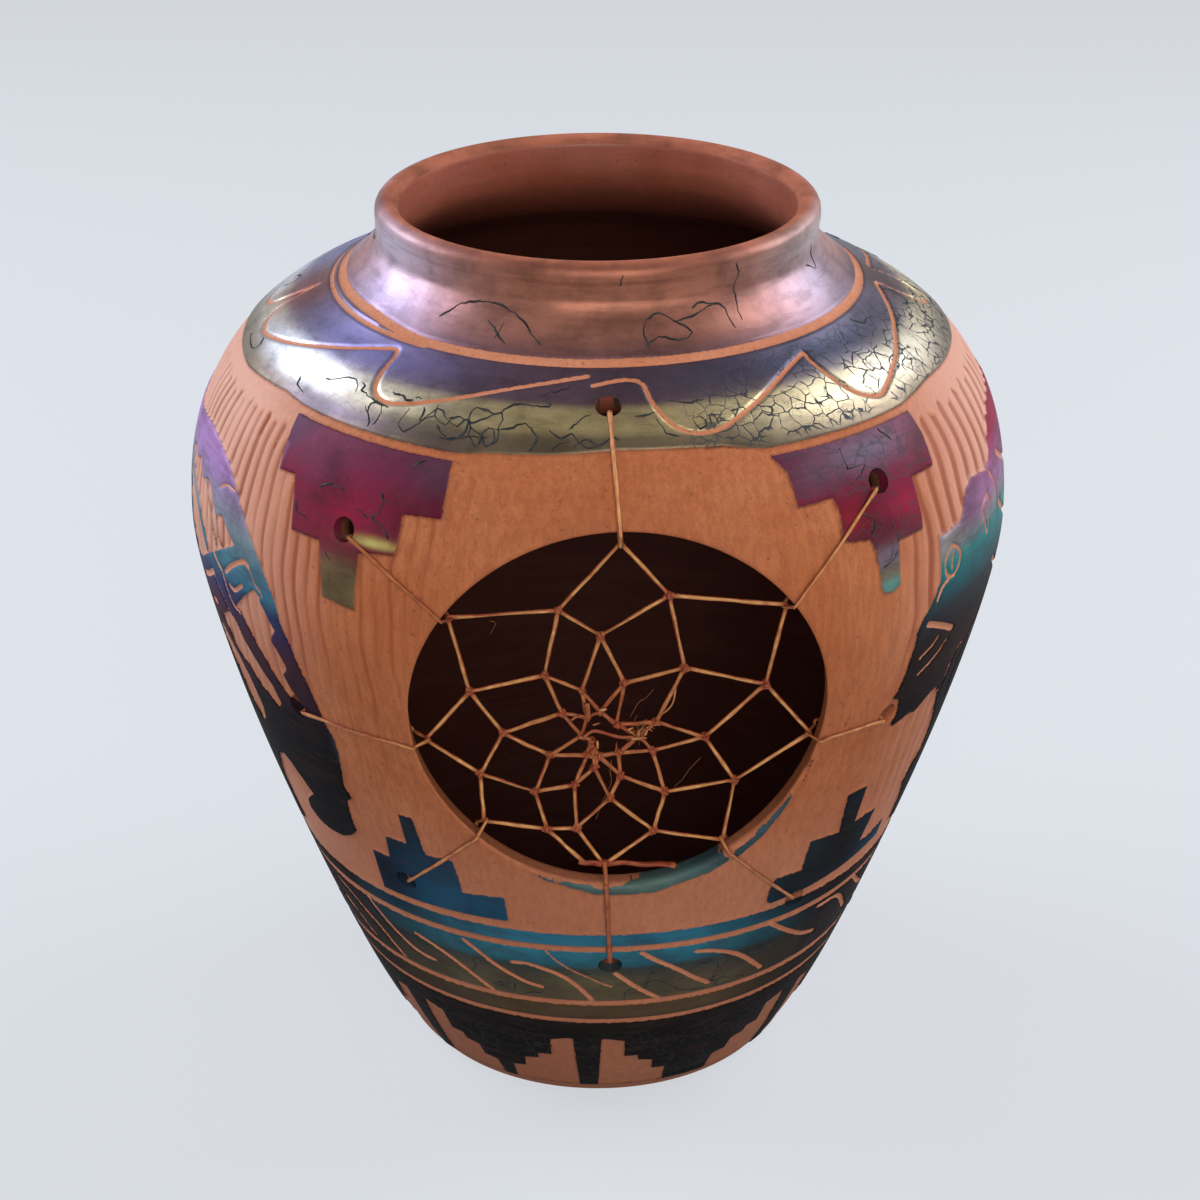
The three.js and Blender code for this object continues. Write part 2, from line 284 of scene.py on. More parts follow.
# Only round the front: what is left of the spray under the window, on the window's rubbed edge
window_remnants = [
    [(-14.6, 78.6), (-11.2, 75.2), (-7.8, 73.6), (-4, 71.7), (-2.7, 71.4), (1.1, 71.2), (6.3, 71.5),
     (10, 73.4), (14.8, 75.4), (18, 78.2), (17, 80.4), (14.4, 80), (9.7, 78.4), (3.6, 76.9), (-0.7, 74),
     (-3, 73.7), (-4.6, 74.9), (-7.7, 75.2), (-11.2, 76.3)],
    [(18.9, 78.1), (22.8, 83), (25.2, 88.3), (26.9, 93.5), (25.6, 93.0), (23.8, 88.9), (20.8, 84),
     (18, 80.4)], [(27.6, 95.7), (28.9, 101.9), (27.2, 104), (28.2, 99.4), (28.2, 97)],
]
# Only round the back: a stepped lozenge, given as its upper right steps from the top to the side
lozenge_steps = [(0, 33), (4.5, 33), (4.5, 26), (9, 26), (9, 19.5), (14, 19.5), (14, 13), (19, 13), (19, 6.5),
                 (24, 6.5)]
lozenge_height = 112
inner_lozenge = 0.62  # size of the carved line inside it, as a share
lozenge_heart = [(0, 118), (4, 112), (0, 106)]
# Bare shapes cut out of the left side field: three long feathers, and a barred block above them
cut_shapes = [
    [(-58.9, 128.2), (-57.4, 130.3), (-55.1, 132.9), (-53.7, 131.9), (-53.8, 130.9), (-53, 129.5),
     (-52, 127.3), (-51, 125.6), (-52.2, 123.5), (-52.7, 122.2), (-51.7, 120.7), (-50.3, 117.1),
     (-50.8, 115.7), (-51.7, 114.4), (-50.6, 111.3), (-49.4, 109.6), (-50.1, 108.3), (-51.3, 108.8),
     (-53.1, 111), (-55, 114.8), (-57.1, 119.2), (-58.7, 122.3), (-59.8, 124.5), (-61, 125.5)],
    [(-69.9, 117.1), (-64.9, 121.3), (-63, 120.6), (-61.5, 116.6), (-60.1, 114.6), (-57.8, 111.1),
     (-55.9, 108.6), (-55, 105), (-56.2, 103), (-58.2, 105.4), (-59.9, 105.8), (-61.4, 107.6),
     (-62.5, 109.6), (-65, 110.3), (-66.8, 112.4), (-67.8, 115.2)],
    [(-74.5, 112), (-71.6, 113.2), (-69.5, 110.9), (-67.1, 108.9), (-65.1, 105.2), (-64.1, 102),
     (-63.5, 98.2), (-64.7, 94.2), (-66.6, 92.6), (-67.8, 95.3), (-70.1, 97.6), (-70.6, 101), (-73, 104.9),
     (-76.5, 108)],
    [(-79, 148.4), (-76.3, 150), (-73.8, 146.6), (-70.9, 148.4), (-68.8, 146.5), (-66.8, 142.6),
     (-64.3, 144.1), (-62, 141.3), (-60.1, 140), (-61.6, 138.6), (-66.7, 134.6), (-75.2, 127.6),
     (-79, 126.4), (-83, 130), (-87, 137), (-86, 146), (-82, 150)],
]
kept_lines = [  # lines of spray left standing on the barred block: half width in mm, then the line
    (0.95, [(-84, 146.5), (-82.2, 145), (-75.7, 140.4), (-72.3, 135.7), (-70.4, 132.8)]),
    (0.22, [(-72.1, 147.2), (-69, 142.4), (-66.6, 136)]),
    (0.22, [(-66.8, 142.4), (-64.7, 137.2)]),
]
ring_gaps = [(58.5, 60.0), (52.9, 54.7), (34.5, 36.2), (28.2, 29.6)]  # bare rings, low and high edge
neck_ring, twin_ring = 183.05, 182.5  # the middles of the carved ring under the neck, and of its twin
# Half widths of the carved lines, in mm
neck_ring_half, thin_half, lozenge_half, stroke_half, thin_stroke_half = 1.05, 0.5, 0.55, 0.62, 0.3
zigzag = [
    [(-90, 180.9), (-88.8, 178), (-87, 175.6), (-84, 174.4), (-79, 174.5), (-60, 178.6), (-50, 180.6),
     (-45.5, 181), (-44.5, 178.5), (-43, 176.3), (-40, 175.2), (-36, 175.6), (-30, 177), (-20, 179.3),
     (-10, 180.8), (-5, 181.4)],
    [(-4, 180.3), (0, 180.8), (3, 180.9), (5.3, 180.3), (6, 178.5), (8, 176), (10, 174.5), (12.5, 173.8),
     (16, 174), (20, 175.3), (25, 177), (30, 178.6), (35, 179.8), (40, 180.6), (39.7, 179.8),
     (40.5, 177.5), (42, 175.2), (44, 173.8), (47, 172.8), (50, 173.5), (55, 175), (60, 176.3),
     (65, 177.7), (72, 179), (80, 180.3), (85.4, 180.8), (85.6, 178.6), (87, 176), (90, 174.4)],
]
field_lines = [  # half width in mm, then the line
    (0.45, [(-67.6, 133.7), (-66.1, 132.4), (-64.4, 131), (-63.4, 127.6), (-62.4, 125.1), (-60.4, 124)]),
    (0.4, [(-68.4, 127.8), (-67.2, 126.2), (-66, 124.1), (-65, 121.9)]),
    (0.6, [(-63.2, 132), (-61.4, 134.3), (-59.2, 136.5), (-57.5, 137.7), (-56.4, 137.4)]),
    (0.3, [(-56.4, 137.4), (-55.7, 135.9), (-54.8, 134.2), (-53.6, 133.3), (-53.2, 132.2)]),
    (0.5, [(-62.2, 129.5), (-60.8, 129.1), (-58.3, 131.8)]),
    (0.7, [(-77, 122.5), (-72.8, 125), (-68.5, 128.6)]),
    (0.8, [(-74, 118), (-71.2, 119.2)]),
    (0.3, [(-66, 149.4), (-64, 150.8), (-61.6, 150.8)]),
    (0.7, [(-80, 121), (-90, 115.5)]),
    (0.75, [(-78, 113), (-85, 109.5), (-90, 106)]),
    (0.4, [(51.3, 141.5), (49.7, 139.1), (50, 135.6), (51.9, 134.5), (53.5, 136.9), (53.2, 139.7),
           (51.3, 141.5)]),
    (0.5, [(50.8, 134.6), (48.8, 133.1), (48.0, 131)]),
    (0.4, [(63.8, 145.6), (61.5, 143.7), (62.2, 140.4), (63.3, 137.1), (64.3, 140.3), (64.7, 143.5),
           (63.8, 145.6)]),
    (0.4, [(66, 149.3), (67.8, 146.1), (68.8, 142.1), (68.6, 138.8)]),
    (0.75, [(46.6, 126.1), (50.4, 123.4), (54.1, 120.4)]),
    (0.4, [(53.4, 118.2), (52, 116.4), (50, 114.8), (47.2, 113.2)]),
    (0.4, [(50.2, 120.9), (48.8, 119.2), (46.4, 117.8)]),
    (0.3, [(51.7, 139.8), (51.4, 137.6), (51.4, 135.9)]),
    (0.45, [(67.4, 115), (63.2, 112.2), (59.3, 110), (58.5, 104.1), (57.4, 102.1)]),
    (0.4, [(65, 110.4), (63.2, 107.2), (62.6, 102.5), (63.5, 96.6)]),
    (0.7, [(70, 140), (76, 134), (83, 129), (90, 126.4)]),
    (0.7, [(68, 128), (75, 121.5), (83, 116.5), (90, 114)]),
    (0.7, [(72, 150), (78, 145), (84, 142), (90, 141)]),
]
band_strokes = [
    [(-64, 50.2), (-60, 49.5), (-56, 46.8), (-52, 43.5), (-49, 39.5), (-47, 36.8)],
    [(-65, 44), (-62, 42.5), (-59, 41)],
    [(-51.2, 52.8), (-50, 50.5), (-47, 46.5), (-44, 43.5), (-41, 41.5), (-37.5, 40.8)],
    [(-40, 48), (-38, 47.3), (-34, 45), (-30, 41.5), (-27, 38.3), (-25, 36.3)],
    [(-28.5, 51.6), (-26.5, 49.5), (-23, 45.5), (-20, 43), (-17, 41), (-14.2, 40)],
    [(-19.3, 47.3), (-16.5, 47.5), (-12.5, 46), (-9.5, 44), (-7, 41), (-5, 37.8), (-4.2, 36.3)],
    [(0.3, 45.5), (2, 43.5), (5, 40), (9.5, 35.8)],
    [(5, 52), (8, 49), (12, 45.5), (16, 41.5), (19.5, 38.5)],
    [(15.5, 50.3), (19, 49.3), (24, 46.5), (28, 42.5), (32, 38)],
    [(30, 53.5), (33, 50.5), (37, 47), (41, 44), (45.5, 42)],
    [(43, 51.2), (48, 50.8), (51, 49), (54, 45.5), (57, 42)],
    [(54, 53), (57, 50), (61, 46.5), (65, 44)],
]
thin_band_stroke = [(-12.5, 52.5), (-11, 49.8), (-8, 46.5), (-5, 44.3), (-2.5, 42.3), (-0.3, 41)]
# Bare stepped hills over the foot: their middles in degrees, and the half to the left of a middle
hill_middles = [-51, -5.5, 49.5, 101.4, 153.3, 205.2, 257.1]
hill_half = [(-2.6, 3), (-3.3, 22), (-4.5, 22), (-8.6, 21), (-8.8, 15), (-12.3, 14.8), (-12.5, 13),
             (-16.2, 12.3), (-16.6, 8.7), (-20.3, 8.2), (-20.7, 3)]
bare_rim_height = 2.6
far = 4.0  # mm beyond which a distance to an outline no longer matters

stroke_rng = np.random.default_rng(5)
for start in np.arange(70, 290, 14.6):
    shift, rise = stroke_rng.uniform(-1.5, 1.5), stroke_rng.uniform(-1.2, 1.2)
    band_strokes.append([(start + shift + a, z + rise * 0.6) for a, z in
                         [(0, 50.6), (3.2, 48.6), (7, 45.4), (10.5, 41.8), (14, 38 - rise * 0.5)]])


def flat(points, scale):
    """Points on the wall laid out flat, in mm."""
    points = np.asarray(points, float)
    return np.stack([points[:, 0] * scale, run_at(points[:, 1])], -1)


def line_distance(turn, run, points, closed=False):
    """Distance in mm from places on the wall to a line, and which of them a closed line holds inside."""
    scale = math.radians(1) * radius_at(np.mean([p[1] for p in points]))
    line = flat(points, scale)
    u = turn * scale
    near = ((u > line[:, 0].min() - far) & (u < line[:, 0].max() + far)
            & (run > line[:, 1].min() - far) & (run < line[:, 1].max() + far))
    best = np.full(near.sum(), far)
    inside = np.zeros(near.sum(), bool)
    p, q = u[near], run[near]
    ends = np.roll(line, -1, axis=0) if closed else line[1:]
    for (ax, ay), (bx, by) in zip(line, ends):
        dx, dy = bx - ax, by - ay
        share = np.clip(((p - ax) * dx + (q - ay) * dy) / max(dx * dx + dy * dy, 1e-12), 0, 1)
        best = np.minimum(best, np.hypot(p - ax - share * dx, q - ay - share * dy))
        if closed and ay != by:
            crossed = ((ay > q) != (by > q)) & (p < (bx - ax) * (q - ay) / (by - ay) + ax)
            inside ^= crossed
    distance = np.full(len(turn), far)
    distance[near] = best
    held = np.zeros(len(turn), bool)
    held[near] = inside
    return distance, held


def shape_depth(turn, run, outline):
    """How far inside a closed outline, in mm; negative outside it."""
    distance, held = line_distance(turn, run, outline, closed=True)
    return np.where(held, distance, -distance)


def soft_curve(p, step, reach_of):
    """Points about a step apart on the soft curve through p, apart from its first and last point."""
    made = []
    for a, b, c, d in zip(p, p[1:], p[2:], p[3:]):
        for t in np.arange(0, 1, 1 / max(2, round(reach_of(b, c) / step))):
            made.append(0.5 * (2 * b + (c - a) * t + (2 * a - 5 * b + 4 * c - d) * t**2
                               + (3 * b - a - 3 * c + d) * t**3))
    return made


def with_run_out(p):
    """Points with one more at each end, straight on."""
    return np.concatenate([[2 * p[0] - p[1]], p, [2 * p[-1] - p[-2]]])


def smooth_line(points, step=1.0):
    """A soft curve through points on the wall, about a step in mm between its points."""
    p = with_run_out(np.asarray(points, float))
    return np.array(soft_curve(p, step, lambda b, c: np.linalg.norm(
        (c - b) * (math.radians(1) * radius_at(b[1]), 1))) + [p[-2]])


def soft_step(x):
    """0 below 0, 1 above 1, and a soft change between."""
    x = np.clip(x, 0, 1)
    return x * x * (3 - 2 * x)


def fold(turn):
    """The back of the pot repeats the front half as in a mirror."""
    over = np.abs(turn)
    return np.sign(turn) * np.where(over > 90, 180 - over, over)


def band_depth(run, low, high):
    """How far inside a ring between two heights, in mm."""
    return np.minimum(run - run_at(low), run_at(high) - run)


def lozenge(size):
    """The right half of the back's lozenge at a share of its size, from its top down to its foot."""
    steps = [(a * size, h * size) for a, h in lozenge_steps]
    return [(a, lozenge_height + h) for a, h in steps] + [(a, lozenge_height - h) for a, h in reversed(steps)]


def from_behind(turn):
    """Degrees round from the middle of the back, to either side."""
    return np.abs(np.where(turn < 0, turn + 360, turn) - 180)


def design(turn, z):
    """Distances in mm inside the paint and inside the carved lines, at places on the wall."""
    run, half, behind = run_at(z), fold(turn), from_behind(turn)

    # Paint: the shapes, and all below the belly; less the feathers, the rings, the rim and the hills
    paint = np.clip(run - run_at(np.interp(half, *zip(*glaze_edge))), -far, far)
    shapes = [(half, outline) for outline in painted_shapes.values()]
    shapes += [(turn, outline) for outline in window_remnants]
    top, foot = lozenge(1)[0][1], lozenge(1)[-1][1]
    shapes.append((behind, lozenge(1) + [(-3, foot), (-3, top)]))
    for around, outline in shapes:
        paint = np.maximum(paint, shape_depth(around, run, outline))
    paint = np.maximum(paint, np.minimum(run_at(ring_gaps[0][0]) - run, far))
    for outline in cut_shapes:
        paint = np.minimum(paint, -shape_depth(half, run, outline))
    for wide, points in kept_lines:
        paint = np.maximum(paint, wide - line_distance(half, run, smooth_line(points))[0])
    for low, high in ring_gaps:
        paint = np.minimum(paint, -band_depth(run, low, high))
    paint = np.minimum(paint, run - run_at(bare_rim_height))
    for middle in hill_middles:
        away = np.abs((turn - middle + 180) % 360 - 180)
        paint = np.minimum(paint, -shape_depth(-away, run, hill_half))

    # Carved lines: the ring under the neck, which parts in two round the left side, then all the others
    parted = soft_step((-half - 40) / 24)
    carve = neck_ring_half - np.abs(run - run_at(neck_ring + parted))
    alone = 1 - soft_step((-half - 36) / 5)
    carve = np.maximum(carve, thin_half - np.abs(run - run_at(twin_ring)) - alone * far)
    lines = [(half, thin_half, smooth_line(points)) for points in zigzag]
    lines += [(half, wide, smooth_line(points)) for wide, points in field_lines]
    lines += [(turn + lap, stroke_half, smooth_line(points)) for points in band_strokes for lap in (0, 360)]
    lines += [(turn, thin_stroke_half, smooth_line(thin_band_stroke)),
              (behind, lozenge_half, lozenge(inner_lozenge)), (behind, thin_half, lozenge_heart)]
    for around, wide, line in lines:
        carve = np.maximum(carve, wide - line_distance(around, run, line)[0])
    return paint, np.maximum(carve, -far)


def linear(colour):
    """Linear light from a 0 to 255 display colour."""
    c = np.asarray(colour, float) / 255
    return np.where(c <= 0.04045, c / 12.92, ((c + 0.055) / 1.055) ** 2.4)


def by_height(z, stops):
    """Colour and lustre at each height, from stops of height, colour and lustre."""
    values = np.array([[*linear(colour), lustre] for _, colour, lustre in stops])
    heights = [stop[0] for stop in stops]
    return np.stack([np.interp(z, heights, values[:, k]) for k in range(4)], -1)


# Sprayed colours by height, lowest first: height, display colour, and lustre from matt 0 to metal 1
front_spray = [
    (0, (17, 15, 15), 0.06), (24, (17, 15, 15), 0.06), (28, (28, 23, 20), 0.1), (31, (82, 64, 44), 0.25),
    (35, (78, 62, 42), 0.25), (37, (88, 77, 53), 0.30), (43, (82, 72, 56), 0.25), (47, (54, 64, 60), 0.25),
    (48.5, (40, 96, 112), 0.30), (52, (46, 112, 130), 0.30), (55, (44, 110, 132), 0.30),
    (58, (42, 104, 126), 0.30), (60, (26, 76, 102), 0.25), (72, (28, 66, 90), 0.25), (80, (24, 44, 62), 0.2),
    (88, (24, 30, 40), 0.2), (100, (60, 70, 80), 0.2), (137, (112, 96, 68), 0.3), (145, (112, 96, 68), 0.3),
    (149, (112, 40, 54), 0.25), (160, (112, 30, 54), 0.25), (166, (98, 36, 60), 0.3),
    (169.6, (94, 44, 62), 0.3), (170.3, (104, 90, 72), 0.65), (173.6, (122, 106, 80), 0.7),
    (175, (190, 168, 118), 0.8), (177.2, (194, 172, 122), 0.8), (178.2, (98, 74, 78), 0.55),
    (182, (88, 66, 74), 0.55), (184, (122, 84, 80), 0.55), (187, (166, 110, 92), 0.55),
    (193, (160, 104, 84), 0.5), (198, (142, 90, 72), 0.45), (199.4, (146, 88, 70), 0.3),
    (200, (160, 94, 70), 0.1),
]
side_spray = [
    (0, (15, 13, 14), 0.06), (28, (18, 16, 16), 0.06), (36, (30, 26, 24), 0.1), (44, (32, 27, 26), 0.1),
    (52, (24, 22, 24), 0.08), (60, (14, 14, 16), 0.06), (90, (13, 12, 14), 0.06), (104, (20, 16, 21), 0.08),
]
left_spray = side_spray + [
    (107, (40, 24, 34), 0.12), (120, (62, 34, 48), 0.15), (125, (50, 40, 72), 0.2), (129, (40, 50, 88), 0.25),
    (132, (52, 100, 122), 0.25), (137, (76, 120, 136), 0.25), (143, (122, 134, 142), 0.25),
    (148, (142, 128, 156), 0.25), (153, (156, 118, 170), 0.25), (160, (158, 116, 160), 0.25),
]
right_spray = side_spray + [
    (112, (34, 23, 21), 0.1), (120, (38, 28, 28), 0.12), (128, (34, 42, 48), 0.25), (133, (28, 84, 90), 0.3),
    (138, (48, 124, 124), 0.3), (142, (130, 126, 130), 0.25), (145, (150, 110, 142), 0.25),
    (151, (138, 78, 112), 0.25), (155, (136, 42, 66), 0.25), (162, (126, 34, 56), 0.25),
]
back_spray = [
    (76, (26, 24, 28), 0.2), (90, (36, 76, 100), 0.25), (104, (52, 110, 122), 0.3), (112, (120, 40, 62), 0.3),
    (126, (126, 44, 66), 0.3), (138, (132, 110, 140), 0.3), (148, (160, 122, 160), 0.3),
]
figure_foot, figure_top = 60, 165  # between these heights the side figures have sprays of their own
# Soft single marks of colour: turn, height, reach round in degrees, reach up in mm, colour, strength. Most
# are sprays; those marked below are painted highlights and reflections of the glaze
spots = [
    (-53, 168, 4, 4, (84, 62, 92), 0.5), (-26, 167, 4, 4, (96, 70, 88), 0.5),
    (-45, 163, 4, 4, (84, 44, 66), 0.5), (-33.3, 152.9, 3.2, 0.9, (168, 150, 84), 0.95),
    (-39, 156, 5, 3, (150, 28, 60), 0.5), (-38.5, 143, 3.5, 5, (110, 90, 62), 0.9),
    (38, 166, 9, 3.2, (98, 88, 104), 0.85), (28, 164, 4, 3, (90, 70, 84), 0.6),
    (33, 155.5, 2.6, 3.4, (156, 34, 48), 0.8), (43, 154.5, 3.4, 2.6, (150, 34, 60), 0.8),
    (38, 146, 4, 2.6, (126, 110, 128), 0.9), (38, 139.6, 3, 2, (88, 142, 134), 0.95),
    (48, 163, 4, 4, (104, 60, 68), 0.5), (60, 147, 6, 4, (152, 108, 146), 0.8),
    (51, 143, 4, 3, (134, 132, 130), 0.9), (55, 152, 4, 3, (128, 112, 124), 0.5),
    (-41, 66, 7, 14, (20, 24, 34), 0.95), (-30, 64, 7, 7, (30, 78, 108), 0.5),
    (41, 70, 16, 22, (14, 14, 16), 1.0), (32, 66, 9, 8, (18, 26, 30), 0.85),
    # Painted highlights and reflections of the glaze, not sprays: the pale spots on the gold band at 60, 32,
    # -66 and -38 degrees, the slate blue and blue violet ones above it at 48 and -56, and the pale ones on
    # the neck at -62, 62, -68 and 66
    (60, 175.8, 26, 2.8, (212, 205, 188), 0.85), (32, 174.8, 16, 2.4, (206, 190, 152), 0.7),
    (-66, 175.8, 22, 2.5, (212, 220, 240), 0.9), (-38, 175.8, 12, 1.6, (206, 196, 172), 0.6),
    (-48, 172, 16, 1.3, (104, 92, 116), 0.7), (48, 180.5, 40, 2.6, (62, 68, 92), 0.95),
    (-56, 180.3, 24, 2.6, (122, 118, 172), 0.9), (-62, 187, 22, 5, (146, 138, 172), 0.8),
    (62, 188, 22, 6, (136, 130, 152), 0.8), (-68, 195, 22, 5, (196, 186, 208), 0.8),
    (66, 196, 22, 4, (190, 180, 182), 0.7), (4, 74, 18, 6, (82, 104, 98), 1.0),
    (23, 88, 6, 12, (62, 84, 90), 1.0), (28.5, 99, 3, 5, (14, 20, 26), 1.0),
    (-4, 43, 10, 3, (96, 92, 62), 0.5), (-88, 180, 9, 4, (116, 60, 54), 0.85),
    (92, 180.5, 11, 3.6, (88, 52, 44), 0.85), (-33.3, 152.3, 3.4, 0.7, (186, 170, 100), 0.9),
]


def spray_with_painted_light(turn, z):
    """The colour and its lustre at places on the wall, with the glaze's painted highlights and reflections.
    """
    half = fold(turn)
    colour = by_height(z, front_spray)
    on_figures = z > figure_foot
    low = np.clip((130 - z) / 50, 0, 1)
    left = np.clip((-half - 56 + 26 * low) / (2 + 22 * low), 0, 1)
    left = np.where(on_figures, np.clip((-half - 43 - 9 * np.clip((z - 125) / 25, 0, 1)) / 1.5, 0, 1), left)
    right = np.clip((half - 20) / 24, 0, 1)
    right = np.where(on_figures, np.clip((half - 41 - 6 * np.clip((z - 130) / 12, 0, 1)) / 1.5, 0, 1), right)
    right[on_figures & (z < 89) & (half < 56.5)] = 0  # the standing steps beside the right figure
    right[(z > 145.6) & (half < 51.5)] = 0  # the hanging steps above it
    for side, stops in ((left, left_spray), (right, right_spray)):
        side[z > figure_top] = 0
        colour += (by_height(z, stops) - colour) * side[:, None]
    # Single sprays, and the glaze's painted highlights and reflections
    for spot_turn, spot_z, wide, high, tone, strength in spots:
        share = strength * np.exp(-((half - spot_turn) / wide) ** 2 - ((z - spot_z) / high) ** 2)
        colour[:, :3] += (linear(tone) - colour[:, :3]) * share[:, None]
        colour[:, 3] *= 1 - share * (max(tone) < 40)  # a black spray is matt
    share = np.clip((30 - from_behind(turn)) / 3, 0, 1) * (z > back_spray[0][0]) * (z < back_spray[-1][0])
    return colour + (by_height(z, back_spray) - colour) * share[:, None]


# Relief in mm: the cut areas lie lower than the paint, and keep the ridges of the gouge
cut_depth, line_depth = 0.38, 0.45
hand_wave = 0.06  # how far the hand-thrown wall is from round
ribs_right, ribs_left = 109, 156  # strokes of the gouge in a full turn


def gouge_ribs(turn, z):
    """Depth in mm of the valleys between the gouge's strokes: bold at the sides, faint at the front. The
    strokes wander, differ in strength, fade out downwards and end torn at the top."""
    half = fold(turn)
    wander = 0.9 * np.sin(z * 0.11 + turn * 0.05) + 0.5 * np.sin(z * 0.31 + turn * 0.21)
    right = 1 - np.abs(np.sin(np.radians(turn * ribs_right / 2) + wander * 0.5))
    left = 1 - np.abs(np.sin(np.radians(turn * ribs_left / 2) + wander * 0.6))
    bold_right = soft_step((half - 36) / 12)
    bold_left = soft_step((-half - 17) / 24)
    fresh = 0.7 + 0.3 * np.sin(turn * 0.37 + z * 0.07) * np.sin(turn * 0.73 + 1.3)
    front = 0.10 + 0.13 * soft_step((z - 140) / 20)
    ribs = bold_right * 0.58 * right + (1 - bold_right) * left * (front + 0.44 * bold_left) * fresh
    torn = 167 + 0.9 * np.sin(turn * 2.1) * np.sin(turn * 0.9 + 2)
    ribs *= soft_step((z - 61) / 22) * (0.45 + 0.55 * soft_step((z - 95) / 45))
    return ribs * soft_step((torn - z) / 0.8)


def relief(turn, z, paint, carve):
    """How far the worked surface lies under the smooth thrown wall, in mm."""
    bare = soft_step(0.5 - paint / 0.9)
    sink = cut_depth * bare
    sink = np.maximum(sink, line_depth * soft_step(0.5 + carve / 0.7))
    hand = np.sin(np.radians(turn * 3) + z * 0.05) + np.sin(np.radians(turn * 5) - z * 0.09)
    hand = hand_wave * (hand + 2) * (z > 4) * (z < 196)
    return sink + gouge_ribs(turn, z) * bare + hand


# Fired clay and spray, as materials. The bare clay is matt and streaked where the gouge ran down it. The
# spray is a thin lustre over burnished clay, scorched by the hair, with a worn edge where it was cut.
def times(tree, first, *others):
    """The product of values or sockets."""
    for other in others:
        first = maths(tree, "MULTIPLY", first, other)
    return first


def plus(tree, first, *others):
    """The sum of values or sockets."""
    for other in others:
        first = maths(tree, "ADD", first, other)
    return first


def left_of(tree, share):
    """What a share leaves of one."""
    return maths(tree, "SUBTRACT", 1.0, share)


def grain(tree, where, scale, detail=4.0, rough=0.55, stretch=None):
    """Noise, drawn out along the axes that stretch makes small."""
    if stretch:
        where = add(tree, "Mapping", {"Vector": where, "Scale": stretch}).outputs[0]
    return add(tree, "TexNoise", {"Vector": where, "Scale": scale, "Detail": detail,
                                  "Roughness": rough}).outputs["Fac"]


def node_group(name, inputs, outputs):
    """An empty node group, the sockets that bring its inputs, and the node that takes its outputs."""
    group = bpy.data.node_groups.new(name, "ShaderNodeTree")
    for way, sockets in (("INPUT", inputs), ("OUTPUT", outputs)):
        for title, kind in sockets.items():
            group.interface.new_socket(title, in_out=way, socket_type="NodeSocket" + kind)
    return group, group.nodes.new("NodeGroupInput").outputs, group.nodes.new("NodeGroupOutput").inputs


def new_look(name):
    """A new material, its empty node tree, and the place of the point that is shaded."""
    look = bpy.data.materials.new(name)
    tree = nodes_of(look)
    return look, tree, add(tree, "TexCoord").outputs["Object"]


def stored(tree, title):
    """The number that a mesh keeps for the point."""
    return add(tree, "Attribute", attribute_name=title).outputs["Fac"]


def show(tree, inputs):
    """Gives the material its surface."""
    add(tree, "OutputMaterial", {"Surface": add(tree, "BsdfPrincipled", inputs).outputs[0]})


def shown(*colour):
    """A 0 to 255 display colour as a shader takes it."""
    return (*linear(colour), 1)


# Bare clay: streaks that run down the wall, paler dust, and fine dark specks
clay_group, take, give = node_group(
    "bare_clay", {"Where": "Vector", "Clay": "Color", "Pale": "Color", "Streaks": "Float"},
    {"Color": "Color", "Height": "Float"},
)
tree, where = clay_group, take["Where"]
streaks = grain(tree, where, 760, 5, 0.65, stretch=(1, 1, 0.11))
patches = grain(tree, where, 34, 5, 0.65)
pores = grain(tree, where, 1700, 3, 0.6)
specks = grain(tree, where, 820, 2, 0.5)
shade = mixed(tree, ramp(tree, patches, 0.36, 0.68, 0.0, 0.75), take["Clay"], take["Pale"])
dark = times(tree, ramp(tree, streaks, 0.40, 0.60, 1, 0), take["Streaks"], 0.34)
shade = mixed(tree, dark, shade, (0.22, 0.062, 0.026, 1))
shade = mixed(tree, ramp(tree, pores, 0.44, 0.62, 0.16, 0.0), shade, (0.16, 0.05, 0.025, 1))
shade = mixed(tree, ramp(tree, specks, 0.66, 0.73, 0.0, 0.45), shade, (0.10, 0.035, 0.02, 1))
tree.links.new(shade, give["Color"])
tree.links.new(plus(tree, times(tree, streaks, take["Streaks"]), times(tree, pores, 0.35)), give["Height"])


def bare_clay(tree, where, tone, pale, streaks):
    """The bare clay in a material: its two display colours, and how strong its streaks are."""
    inputs = {"Where": where, "Clay": shown(*tone), "Pale": shown(*pale), "Streaks": streaks}
    return add(tree, "Group", inputs, node_tree=clay_group).outputs


# Scorch marks: the fine broken web that hair leaves where it burns on hot clay
scorch_group, take, give = node_group("hair_scorch", {"Where": "Vector", "Cells": "Float", "Width": "Float"},
                                      {"Mask": "Float"})
tree, where = scorch_group, take["Where"]
wobble = add(tree, "TexNoise", {"Vector": where, "Scale": 190, "Detail": 3})
pushed = add(tree, "VectorMath", {0: wobble.outputs["Color"], 1: (0.5, 0.5, 0.5)}, operation="SUBTRACT")
pushed = add(tree, "VectorMath", {0: pushed.outputs[0], "Scale": 0.0035}, operation="SCALE")
pushed = add(tree, "VectorMath", {0: where, 1: pushed.outputs[0]}, operation="ADD").outputs[0]
gaps = grain(tree, where, 130, 2)


def cracks(cells, full, none, strength, gap_from, gap_to):
    """Lines between cells, broken by gaps, from full strength on the line to none beside it."""
    found = add(tree, "TexVoronoi", {"Vector": pushed, "Scale": cells}, feature="DISTANCE_TO_EDGE")
    away = maths(tree, "DIVIDE", found.outputs["Distance"], take["Width"])
    return times(tree, ramp(tree, away, full, none, strength, 0), ramp(tree, gaps, gap_from, gap_to))


coarse = cracks(take["Cells"], 0.45, 1.4, 1, 0.36, 0.46)
fine = cracks(times(tree, take["Cells"], 2.3), 0.4, 1.2, 0.6, 0.50, 0.58)
tree.links.new(maths(tree, "MAXIMUM", coarse, fine), give["Mask"])

